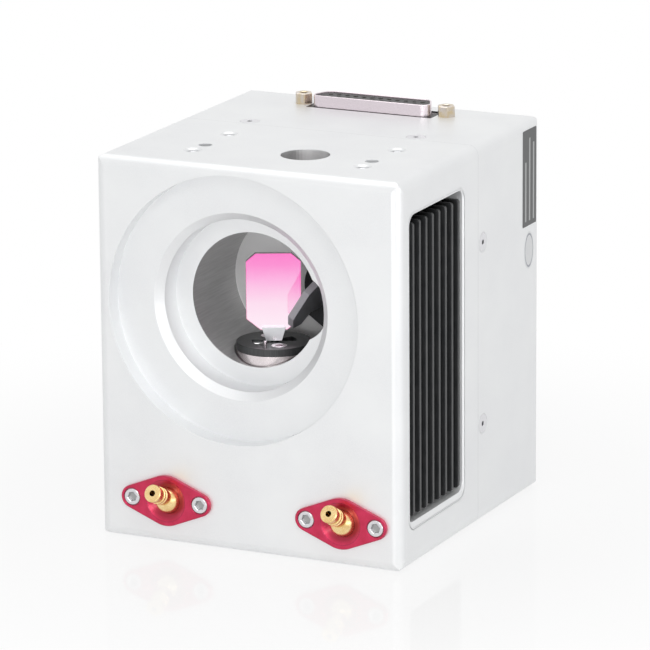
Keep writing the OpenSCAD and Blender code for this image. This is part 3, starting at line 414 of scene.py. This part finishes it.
def ground_glass(name, low, high):
    """Edge and back of a mirror substrate."""
    s = Shader(name, Metallic=0.1, IOR=1.52)
    fine = s.noise(0.15 * MM, 3)
    s.set("Base Color", s.mix(s.span(fine, 0.3, 0.7), low, high))
    s.set("Roughness", s.math("ADD", 0.25, s.math("MULTIPLY", fine, 0.2)))
    s.set("Normal", s.bump(fine, 0.008 * MM, 0.5, s.soft_edges(0.15 * MM)))
    return s.material


BODY = anodised_body("body_anodised")
BLACK = black_anodised("black_anodised")
# Fins with painted shade that darkens them away from their tips
SHADED_FINS = black_anodised("fin_anodised_painted_shade", RIGHT_X - FIN_BACK)
BRASS = turned_brass("turned_brass")
RED = red_anodised("red_anodised")
STEEL = plain_metal("screw_steel", (0.62, 0.62, 0.64), (0.78, 0.78, 0.80), 0.22)
FINISHES = {
    "white_aluminium": BODY,
    "black_anodised": BLACK,
    "black_steel": plain_metal("black_steel", grey(0.03), grey(0.06), 0.35),
    "screw_steel": STEEL,
    "red_anodised": RED,
    "brass": BRASS,
    "contact_gold": plain_metal("contact_gold", (0.80, 0.58, 0.24), (0.90, 0.70, 0.34), 0.2),
    "spring_steel": plain_metal("spring_steel", grey(0.38), grey(0.5), 0.3),
    "tinned_shell": plain_metal("tinned_shell", (0.74, 0.65, 0.69), (0.84, 0.76, 0.80), 0.2),
    "yellow_zinc": plain_metal("yellow_zinc", (0.60, 0.55, 0.53), (0.70, 0.63, 0.55), 0.22,
                               tint=(0.62, 0.50, 0.30)),
    "black_plastic": plain_plastic("black_plastic", grey(0.035), grey(0.07), 0.45),
    "board_green": circuit_board("board_green"),
    "motor_steel": plain_metal("motor_steel", (0.66, 0.60, 0.61), (0.80, 0.74, 0.75), 0.2),
    "copper": plain_metal("copper_windings", (0.50, 0.20, 0.07), (0.68, 0.32, 0.14), 0.35,
                          grain=0.3),
    "bearing_steel": plain_metal("bearing_steel", grey(0.5), grey(0.68), 0.15),
    "magnet_grey": plain_metal("magnet_grey", grey(0.32), grey(0.42), 0.25),
    "mount_aluminium": plain_metal("mount_aluminium", (0.58, 0.59, 0.61), (0.68, 0.69, 0.71), 0.3),
}


SAME_WAY = 0.99  # cosine above which two directions count as the same


def dress_nodes():
    """Gives each CAD node whose slot in the record has a finish here that finish; the others keep their own."""
    slots = {p["node"]: p["material_slot"] for p in frame["record"]["subparts"]}
    for name, node in nodes.items():
        slot = slots[name]
        if slot not in FINISHES:
            continue
        node.data.materials.clear()
        node.data.materials.append(FINISHES[slot])


def dress_mirror(node_name, normal, edge_level):
    """Coating on the face that looks along normal, painted light on the top face as near white glass, ground glass
    elsewhere; an edge_level below 1 is painted shade on the edges.
    """
    node = nodes[node_name]
    low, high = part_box(node_name)
    edge_colours = [tuple(v * edge_level for v in colour)
                    for colour in ((0.40, 0.38, 0.42), (0.55, 0.52, 0.56))]
    materials = node.data.materials
    materials.clear()
    materials.append(ground_glass(node_name + "_edge", *edge_colours))
    materials.append(pink_coating(node_name + "_coating", low.z, high.z))
    materials.append(ground_glass(node_name + "_back", (0.10, 0.105, 0.12), (0.16, 0.165, 0.18)))
    # Painted light: the top face is near white, as if lit from above
    materials.append(ground_glass(node_name + "_top", grey(0.88), grey(0.96)))
    edge, coating, back, top = range(4)
    for face in node.data.polygons:
        facing = face.normal.dot(normal)
        if facing > SAME_WAY:
            face.material_index = coating
        elif facing < -SAME_WAY:
            face.material_index = back
        else:
            face.material_index = top if face.normal.z > SAME_WAY else edge


# ---------------------------------------------------------------- trim

def new_piece(name, mesh, body, material):
    """Object of one material that rides on a body."""
    piece = bpy.data.objects.new(name, mesh)
    bpy.context.scene.collection.objects.link(piece)
    piece.data.materials.append(material)
    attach(piece, body)
    return piece


def to_mesh(bm, name, to_frame=Matrix.Identity(4)):
    """Welded mesh with outward normals, smooth except at edges over 30 degrees."""
    bmesh.ops.remove_doubles(bm, verts=bm.verts, dist=1e-7)
    bmesh.ops.recalc_face_normals(bm, faces=bm.faces)
    bm.transform(to_frame)
    mesh = bpy.data.meshes.new(name)
    bm.to_mesh(mesh)
    bm.free()
    mesh.shade_smooth()
    mesh.set_sharp_from_angle(angle=math.radians(30))
    return mesh


def add_slab(bm, outer, holes, top, bottom, bevel):
    """Plate between two heights; outer and holes give their outline grown by a distance."""
    loops = [(outer, -1)] + [(hole, 1) for hole in holes]
    caps = {top: [], bottom: []}
    for outline, inward in loops:
        levels = []
        for z, grow in ((top, bevel * inward), (top - bevel, 0), (bottom, 0)):
            levels.append([bm.verts.new((u, v, z)) for u, v in outline(grow)])
        count = len(levels[0])
        for upper, lower in zip(levels, levels[1:]):
            for k in range(count):
                bm.faces.new((upper[k], upper[(k + 1) % count], lower[(k + 1) % count], lower[k]))
        for z, ring in ((top, levels[0]), (bottom, levels[-1])):
            caps[z] += [bm.edges.get((ring[k], ring[(k + 1) % count])) for k in range(count)]
    for edges in caps.values():
        bmesh.ops.triangle_fill(bm, edges=edges, use_beauty=True, use_dissolve=False)


def add_turned(bm, at, profile, steps=64):
    """Closed profile of (radius, height) turned about the Z axis through at."""
    rings = []
    for k in range(steps):
        a = 2 * math.pi * k / steps
        rings.append([bm.verts.new((at[0] + r * math.cos(a), at[1] + r * math.sin(a), z))
                      for r, z in profile])
    for k in range(steps):
        a, b = rings[k], rings[(k + 1) % steps]
        for i in range(len(profile)):
            j = (i + 1) % len(profile)
            bm.faces.new((a[i], a[j], b[j], b[i]))


def arc(at, radius, start, end, steps):
    """Points of an arc between two angles in degrees."""
    return [(at[0] + radius * math.cos(math.radians(start + (end - start) * k / steps)),
             at[1] + radius * math.sin(math.radians(start + (end - start) * k / steps)))
            for k in range(steps + 1)]


def circle(at, radius, steps=48):
    """Outline of a circle that add_slab can grow."""
    return lambda grow: arc(at, radius + grow, 0, 360, steps)[:-1]


def hexagon(at, radius, turn=0.0):
    """Outline of a hexagon, given by the radius to its corners."""
    return lambda grow: arc(at, radius + grow / math.cos(math.pi / 6), turn, 360 + turn, 6)[:-1]


def plate_mesh(name, outline, thickness, to_frame):
    """Flat plate from an outline in its own XY plane, with a small bevel."""
    bm = bmesh.new()
    face = bm.faces.new([bm.verts.new((u, v, 0)) for u, v in outline])
    raised = bmesh.ops.extrude_face_region(bm, geom=[face])
    top = [g for g in raised["geom"] if isinstance(g, bmesh.types.BMVert)]
    bmesh.ops.translate(bm, verts=top, vec=(0, 0, thickness))
    bmesh.ops.recalc_face_normals(bm, faces=bm.faces)
    edges = [e for e in bm.edges if all(v in top for v in e.verts)]
    bmesh.ops.bevel(bm, geom=edges, offset=thickness * 0.3, segments=2, affect="EDGES")
    bm.transform(to_frame)
    mesh = bpy.data.meshes.new(name)
    bm.to_mesh(mesh)
    bm.free()
    return mesh


def round_rectangle(width, height, radius, steps=6):
    """Outline of a rectangle with round corners, centred on the origin."""
    points = []
    for quarter, (sx, sy) in enumerate(((1, 1), (-1, 1), (-1, -1), (1, -1))):
        for k in range(steps + 1):
            a = math.radians(90 * quarter + 90 * k / steps)
            points.append((sx * (width / 2 - radius) + radius * math.cos(a),
                           sy * (height / 2 - radius) + radius * math.sin(a)))
    return points


def ellipse(width, height, steps=48):
    """Outline of an ellipse centred on the origin."""
    return [(width / 2 * math.cos(2 * math.pi * k / steps),
             height / 2 * math.sin(2 * math.pi * k / steps)) for k in range(steps)]


def right_face(y, z, lift=0.0):
    """Frame for a plate on the right face: its X runs back along +Y and its Y up."""
    return Matrix.Translation((RIGHT_X + lift, y, z)) @ RIGHT_FRAME


PLATE_INK = plain_plastic("plate_ink", (0.085, 0.088, 0.09), (0.13, 0.133, 0.135), 0.4)
PLATE_FIELD = plain_plastic("plate_field", (0.42, 0.43, 0.43), (0.52, 0.53, 0.53), 0.4)
STICKER = plain_plastic("sticker_film", (0.74, 0.75, 0.76), (0.80, 0.81, 0.82), 0.3)
STICKER_RING = plain_plastic("sticker_ring", (0.36, 0.37, 0.42), (0.45, 0.46, 0.50), 0.35)


def data_plate():
    """Dark plate near the top rear corner with three empty fields."""
    wide, tall = 10 * MM, 29.3 * MM
    y = REAR_Y - 3.1 * MM - wide / 2
    z = TOP_Z - 2.6 * MM - tall / 2
    mesh = plate_mesh("data_plate", round_rectangle(wide, tall, 0.4 * MM), 0.08 * MM,
                      right_face(y, z))
    new_piece("data_plate", mesh, "housing", PLATE_INK)
    for k, length in enumerate((0.62, 0.86, 0.80)):
        at = y + (k - 1) * 2.9 * MM
        mesh = plate_mesh(f"plate_field_{k}", round_rectangle(0.9 * MM, tall * length, 0.2 * MM),
                          0.03 * MM, right_face(at, z - tall * (0.9 - length) / 2, 0.07 * MM))
        new_piece(f"plate_field_{k}", mesh, "housing", PLATE_FIELD)


def oval_seal():
    """Blank oval sticker under the plate, with a thin raised ring."""
    wide, tall = 6.8 * MM, 11.4 * MM
    y, z = REAR_Y - 8.4 * MM, 75 * MM
    mesh = plate_mesh("oval_seal", ellipse(wide, tall), 0.05 * MM, right_face(y, z))
    new_piece("oval_seal", mesh, "housing", STICKER)
    steps = 64
    bm = bmesh.new()
    rings = []
    for k in range(steps):
        a = 2 * math.pi * k / steps
        rings.append([bm.verts.new((share * wide / 2 * math.cos(a), share * tall / 2 * math.sin(a),
                                    0.01 * MM * lift))
                      for share, lift in ((0.80, 0), (0.83, 1), (0.88, 1), (0.91, 0))])
    for k in range(steps):
        a, b = rings[k], rings[(k + 1) % steps]
        for i in range(3):
            bm.faces.new((a[i], a[i + 1], b[i + 1], b[i]))
    bmesh.ops.recalc_face_normals(bm, faces=bm.faces)
    bm.transform(right_face(y, z, 0.051 * MM))
    mesh = bpy.data.meshes.new("oval_ring")
    bm.to_mesh(mesh)
    bm.free()
    new_piece("oval_ring", mesh, "housing", STICKER_RING)


def thread_coil(name, centre_xy, top, radius, wire, pitch, turns):
    """Bright wire thread insert just below the mouth of a tapped hole."""
    steps = 24
    bm = bmesh.new()
    profile = [(-wire, 0), (0, wire * 0.55), (0, -wire * 0.55)]
    loops = []
    for k in range(int(steps * turns) + 1):
        a = 2 * math.pi * k / steps
        z = top - pitch * k / steps
        loops.append([bm.verts.new((centre_xy[0] + (radius + dr) * math.cos(a),
                                    centre_xy[1] + (radius + dr) * math.sin(a), z + dz))
                      for dr, dz in profile])
    for a, b in zip(loops, loops[1:]):
        for i in range(3):
            bm.faces.new((a[i], a[(i + 1) % 3], b[(i + 1) % 3], b[i]))
    bm.faces.new(loops[0])
    bm.faces.new(reversed(loops[-1]))
    bmesh.ops.recalc_face_normals(bm, faces=bm.faces)
    mesh = bpy.data.meshes.new(name)
    bm.to_mesh(mesh)
    bm.free()
    new_piece(name, mesh, "housing", STEEL)


def thread_inserts():
    """Inserts in the four tapped holes round the beam entry."""
    taps = mount("top_taps")
    dims = taps["dims"]
    for i, sx in enumerate((-1, 1)):
        for j, sy in enumerate((-1, 1)):
            at = (taps["pos_m"][0] + sx * dims["spacing_x_mm"] * MM / 2,
                  taps["pos_m"][1] + sy * dims["spacing_y_mm"] * MM / 2)
            thread_coil(f"thread_insert_{i}{j}", at, TOP_Z - 0.75 * MM, dims["hole_r_mm"] * MM,
                        0.32 * MM, 0.8 * MM, 6)


# ---------------------------------------------------------------- finer forms of some nodes

# Turn from a slab's own axes to the frame: its Z points out of the lens face, the right face
# or to the rear
FACE_FRAME = Matrix(((1, 0, 0), (0, 0, -1), (0, 1, 0))).to_4x4()
RIGHT_FRAME = Matrix(((0, 0, 1), (1, 0, 0), (0, 1, 0))).to_4x4()
REAR_FRAME = Matrix(((1, 0, 0), (0, 0, 1), (0, 1, 0))).to_4x4()


def fin_profile(x0, x1, z0, z1, corner):
    """Outline of a fin from its root x0 to its tip x1, round at the two tip corners."""
    def outline(grow):
        r = corner + grow
        upper = arc((x1 + grow - r, z1 + grow - r), r, 90, 0, 6)
        lower = arc((x1 + grow - r, z0 - grow + r), r, 0, -90, 6)
        return [(x0, z1 + grow)] + upper + lower + [(x0, z0 - grow)]
    return outline


def rounded(y0, y1, z0, z1, radius):
    """Outline of a rectangle in Y and Z with round corners."""
    def outline(grow):
        r = radius + grow
        ya, yb, za, zb = y0 - grow + r, y1 + grow - r, z0 - grow + r, z1 + grow - r
        return (arc((yb, za), r, -90, 0, 8) + arc((yb, zb), r, 0, 90, 8)
                + arc((ya, zb), r, 90, 180, 8) + arc((ya, za), r, 180, 270, 8))
    return outline


def window_liner():
    """Bevelled edge of the heat sink's window, which narrows the window to its real size."""
    low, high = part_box("heat_sink")
    wide = rounded(FACE_Y + 5.5 * MM, FACE_Y + 45 * MM, low.z - 0.3 * MM, high.z + 0.3 * MM, 4 * MM)
    sill, slope = 1.9 * MM, 3.4  # the bottom edge is bevelled further than the others

    def pocket(grow):
        return rounded(FACE_Y + WINDOW_FROM, FACE_Y + WINDOW_TO, low.z + sill - slope * grow,
                       high.z - 0.2 * MM, 3 * MM)(grow)

    bm = bmesh.new()
    add_slab(bm, lambda grow: wide(grow - 0.02 * MM), [pocket], RIGHT_X, RIGHT_X - WINDOW_DEPTH,
             WINDOW_EDGE)
    add_slab(bm, lambda grow: wide(grow + 0.4 * MM), [lambda grow: pocket(WINDOW_EDGE)],
             RIGHT_X + 0.02 * MM, RIGHT_X, 0.01 * MM)
    mesh = to_mesh(bm, "window_liner", RIGHT_FRAME)
    new_piece("window_liner", mesh, "housing", BODY)


def heat_sink():
    """Finned heat sink with thin fins and small tip corners, in the place of its node."""
    low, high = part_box("heat_sink")
    z0, z1 = low.z + 2.9 * MM, high.z - 3.5 * MM
    last = FACE_Y + 43.8 * MM - FIN_T
    bm = bmesh.new()
    plate = fin_profile(low.x, low.x + SINK_PLATE, low.z, high.z, 0.3 * MM)
    add_slab(bm, plate, [], high.y, low.y, 0.1 * MM)
    shape = fin_profile(low.x + SINK_PLATE - 0.1 * MM, RIGHT_X - FIN_BACK, z0, z1, 0.8 * MM)
    for k in range(FIN_COUNT):
        y = last - k * FIN_PITCH
        add_slab(bm, shape, [], y + FIN_T, y, 0.15 * MM)
    mesh = to_mesh(bm, "heat_sink_finned", REAR_FRAME)
    piece = new_piece("heat_sink_finned", mesh, "housing", SHADED_FINS)
    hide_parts("heat_sink")


def flange_diamond(at):
    """Outline of a flange: three circles joined by their common tangents."""
    def outline(grow):
        big, small = FLANGE_MIDDLE_R + grow, FLANGE_END_R + grow
        lean = math.degrees(math.asin((big - small) / FLANGE_SCREW_DX))
        right, left = (at[0] + FLANGE_SCREW_DX, at[1]), (at[0] - FLANGE_SCREW_DX, at[1])
        return (arc(right, small, lean - 90, 90 - lean, 16)
                + arc(at, big, 90 - lean, 90 + lean, 10)
                + arc(left, small, 90 + lean, 270 - lean, 16)
                + arc(at, big, 270 - lean, 270 + lean, 10))
    return outline


def flanges():
    """Thin red flanges with a bowl round the ball, and their flush screws."""
    heads, socket_shade = bmesh.new(), bmesh.new()
    face = -FACE_Y
    for side in ("left", "right"):
        pivot = joint(side + "_pointer_tilt")["pos_m"]
        at = (pivot[0], pivot[2])
        screws = [(at[0] + s * FLANGE_SCREW_DX, at[1]) for s in (-1, 1)]
        bm = bmesh.new()
        holes = [circle(at, BOWL_R, 64)] + [circle(p, FLANGE_HOLE_R) for p in screws]
        add_slab(bm, flange_diamond(at), holes, face + FLANGE_OUT, face, 0.15 * MM)
        bowl_rim = BOWL_R + 0.02 * MM
        seat_back = face - 1.2 * MM
        add_turned(bm, at, [(bowl_rim, face + FLANGE_OUT - 0.1 * MM), (BALL_HOLE_R, face),
                            (BALL_R, seat_back), (SEAT_OUTER_R, seat_back),
                            (SEAT_OUTER_R, face), (bowl_rim, face)])
        piece = new_piece(side + "_flange_plate", to_mesh(bm, side + "_flange_plate", FACE_FRAME),
                          "housing", RED)
        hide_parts(side + "_flange")
        for p in screws:
            add_slab(heads, circle(p, FLANGE_HEAD_R), [hexagon(p, 1.45 * MM, 12)],
                     face + FLANGE_OUT, face + SOCKET_FLOOR, 0.2 * MM)
            # Painted shade: the floor of each hex socket is a darker grey metal than the head
            add_slab(socket_shade, circle(p, FLANGE_HEAD_R - 0.05 * MM), [],
                     face + SOCKET_FLOOR, face + 0.02 * MM, 0.02 * MM)
    piece = new_piece("flange_screw_heads", to_mesh(heads, "flange_screw_heads", FACE_FRAME),
                      "housing", STEEL)
    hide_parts("flange_screws")
    new_piece("flange_screw_socket_shade", to_mesh(socket_shade, "flange_screw_socket_shade", FACE_FRAME),
              "housing", FINISHES["magnet_grey"])


def d_outline(grow):
    """D outline of the connector with its wide side towards the lens face."""
    r, half = D_CORNER_R + grow, D_HALF_DEPTH + grow
    wide, narrow = D_WIDE + grow - r, D_NARROW + grow - r
    lean = math.degrees(math.atan2(wide - narrow, 2 * (half - r)))
    x, y = PLUG.x, PLUG.y
    return (arc((x + wide, y - half + r), r, -90, lean, 8)
            + arc((x + narrow, y + half - r), r, lean, 90, 6)
            + arc((x - narrow, y + half - r), r, 90, 180 - lean, 6)
            + arc((x - wide, y - half + r), r, 180 - lean, 270, 8))


def connector():
    """D connector: shell, insulator with its sockets, contacts and jackscrews."""
    pitch, row = 2.76 * MM, 1.42 * MM
    shell_top, face_top, low = TOP_Z + SHELL_UP, TOP_Z + FACE_UP, TOP_Z - 1.5 * MM
    wall, gap = 0.5 * MM, 0.02 * MM
    pins = [(PLUG.x + (k - 6) * pitch, PLUG.y - row) for k in range(13)]
    pins += [(PLUG.x + (k - 5.5) * pitch, PLUG.y + row) for k in range(12)]

    shell = bmesh.new()
    add_slab(shell, d_outline, [lambda grow: d_outline(grow - wall)], shell_top, low, 0.12 * MM)
    piece = new_piece("d_shell", to_mesh(shell, "d_shell"), "housing",
                      FINISHES["tinned_shell"])
    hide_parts("connector_shell")

    block = bmesh.new()
    add_slab(block, lambda grow: d_outline(grow - wall - gap),
             [circle(p, 0.75 * MM, 12) for p in pins], face_top, low, 0.1 * MM)
    piece = new_piece("d_insulator", to_mesh(block, "d_insulator"), "housing",
                      FINISHES["black_plastic"])
    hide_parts("connector_insulator")

    gold = bmesh.new()
    for p in pins:
        add_slab(gold, circle(p, 0.6 * MM, 12), [], face_top - 0.5 * MM, low, 0.05 * MM)
    piece = new_piece("d_contacts", to_mesh(gold, "d_contacts"), "housing",
                      FINISHES["contact_gold"])
    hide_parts("connector_contacts")

    posts = bmesh.new()
    for s in (-1, 1):
        at = (PLUG.x + s * JACK_DX / 2, PLUG.y)
        add_slab(posts, hexagon(at, JACK_R), [circle(at, JACK_HOLE_R, 24)],
                 TOP_Z + JACK_UP, TOP_Z, 0.25 * MM)
    piece = new_piece("jack_posts", to_mesh(posts, "jack_posts"), "housing",
                      FINISHES["yellow_zinc"])
    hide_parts("jackscrews")


# ---------------------------------------------------------------- floor, light and camera

def seen_directly(tree):
    """1 for camera, glossy and transmission rays, 0 for the rays that light diffuse surfaces."""
    path = tree.nodes.new("ShaderNodeLightPath")
    total = None
    for kind in ("Is Camera Ray", "Is Glossy Ray", "Is Transmission Ray"):
        if total is None:
            total = path.outputs[kind]
            continue
        node = tree.nodes.new("ShaderNodeMath")
        node.operation = "MAXIMUM"
        tree.links.new(total, node.inputs[0])
        tree.links.new(path.outputs[kind], node.inputs[1])
        total = node.outputs[0]
    return total


def white_world(light_strength):
    """White background whose light on diffuse surfaces has a strength of its own."""
    world = bpy.data.worlds.new("studio")
    world.use_nodes = True
    bpy.context.scene.world = world
    tree = world.node_tree
    background = tree.nodes["Background"]
    background.inputs["Color"].default_value = (1, 1, 1, 1)
    level = tree.nodes.new("ShaderNodeMapRange")
    level.inputs[3].default_value = light_strength
    level.inputs[4].default_value = 1.0
    tree.links.new(seen_directly(tree), level.inputs[0])
    tree.links.new(level.outputs[0], background.inputs["Strength"])


def floor():
    """Pale floor that stays white in the picture and shows a weak reflection."""
    size = 6.0
    corners = [(-size, -size, 0), (size, -size, 0), (size, size, 0), (-size, size, 0)]
    mesh = bpy.data.meshes.new("floor")
    mesh.from_pydata(corners, [], [(0, 1, 2, 3)])
    plane = bpy.data.objects.new("floor", mesh)
    plane.location.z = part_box("front_housing")[0].z - 0.05 * MM
    bpy.context.scene.collection.objects.link(plane)
    material = bpy.data.materials.new("floor")
    material.use_nodes = True
    tree = material.node_tree
    bsdf = tree.nodes["Principled BSDF"]
    bsdf.inputs["Base Color"].default_value = (0.9, 0.9, 0.9, 1)
    bsdf.inputs["Roughness"].default_value = 0.06
    bsdf.inputs["IOR"].default_value = 2.2
    glow = tree.nodes.new("ShaderNodeEmission")
    glow.inputs["Strength"].default_value = 1.0
    both = tree.nodes.new("ShaderNodeMixShader")
    place = tree.nodes.new("ShaderNodeTexCoord")
    length = tree.nodes.new("ShaderNodeVectorMath")
    length.operation = "LENGTH"
    tree.links.new(place.outputs["Object"], length.inputs[0])
    far = tree.nodes.new("ShaderNodeMapRange")
    far.interpolation_type = "SMOOTHSTEP"
    for index, value in enumerate((0.075, 0.22, 0.78, 1.0)):  # distances, then shares of glow
        far.inputs[index + 1].default_value = value
    tree.links.new(length.outputs["Value"], far.inputs[0])
    share = tree.nodes.new("ShaderNodeMath")
    share.operation = "MULTIPLY"
    tree.links.new(far.outputs[0], share.inputs[1])
    tree.links.new(seen_directly(tree), share.inputs[0])
    tree.links.new(share.outputs[0], both.inputs[0])
    tree.links.new(bsdf.outputs[0], both.inputs[1])
    tree.links.new(glow.outputs[0], both.inputs[2])
    tree.links.new(both.outputs[0], tree.nodes["Material Output"].inputs["Surface"])
    plane.data.materials.append(material)


def area_light(name, place, target, size, power):
    """Lamp of that size and power in watts that looks at target."""
    light = bpy.data.lights.new(name, "AREA")
    light.shape = "RECTANGLE"
    light.size, light.size_y = size
    light.energy = power
    lamp = bpy.data.objects.new(name, light)
    bpy.context.scene.collection.objects.link(lamp)
    lamp.location = place
    lamp.rotation_euler = (Vector(target) - Vector(place)).to_track_quat("-Z", "Y").to_euler()
    lamp.visible_camera = False


def lights():
    """Four soft lamps."""
    middle = (0, 0, 0.06)
    area_light("front", (0.20, -1.0, 0.13), middle, (0.40, 0.24), 1.5)
    area_light("key", (0.45, -0.75, 0.70), middle, (0.4, 0.4), 1.9)
    area_light("top", (0.0, 0.0, 0.95), middle, (0.9, 0.8), 2.6)
    area_light("side", (0.62, -0.30, 0.08), middle, (0.5, 0.2), 0.6)


# Camera of the main view, solved from the edges of the block
FOCAL_PX = 4982.5
FRAME_PX = 650
SENSOR_MM = 36.0
CAMERA_AT = Vector((0.61805, -1.28573, 0.43037))
CAMERA_YAW = math.radians(25.642)
CAMERA_PITCH = math.radians(14.68)
CAMERA_ROLL = math.radians(-0.427)


def camera():
    """Camera at the viewing angle: yaw about Z, pitch down, then a slight roll."""
    data = bpy.data.cameras.new("camera")
    data.sensor_width = SENSOR_MM
    data.lens = SENSOR_MM * FOCAL_PX / FRAME_PX
    data.clip_start = 0.05
    data.clip_end = 50
    view = bpy.data.objects.new("camera", data)
    bpy.context.scene.collection.objects.link(view)
    ahead = Vector((-math.sin(CAMERA_YAW) * math.cos(CAMERA_PITCH),
                    math.cos(CAMERA_YAW) * math.cos(CAMERA_PITCH), -math.sin(CAMERA_PITCH)))
    level = Vector((math.cos(CAMERA_YAW), math.sin(CAMERA_YAW), 0))
    above = level.cross(ahead)
    side = math.cos(CAMERA_ROLL) * level + math.sin(CAMERA_ROLL) * above
    up = math.cos(CAMERA_ROLL) * above - math.sin(CAMERA_ROLL) * level
    turn = Matrix((side, up, -ahead)).transposed()
    view.matrix_world = Matrix.Translation(CAMERA_AT) @ turn.to_4x4()
    bpy.context.scene.camera = view


dress_nodes()
dress_mirror("y_mirror", Vector((math.sin(Y_MIRROR_TURN), -math.cos(Y_MIRROR_TURN), 0)), 1.0)
# Painted shade: the x mirror's edges at 0.7 of the glass colour
dress_mirror("x_mirror", Vector((-math.sin(X_MIRROR_TILT), 0, math.cos(X_MIRROR_TILT))), 0.7)
window_liner()
heat_sink()
flanges()
connector()
data_plate()
oval_seal()
thread_inserts()
white_world(0.42)
floor()
lights()
camera()
bpy.context.scene.view_settings.view_transform = "Standard"


def flat(box):
    """Two corners as plain lists of numbers."""
    return [[float(v) for v in corner] for corner in box]
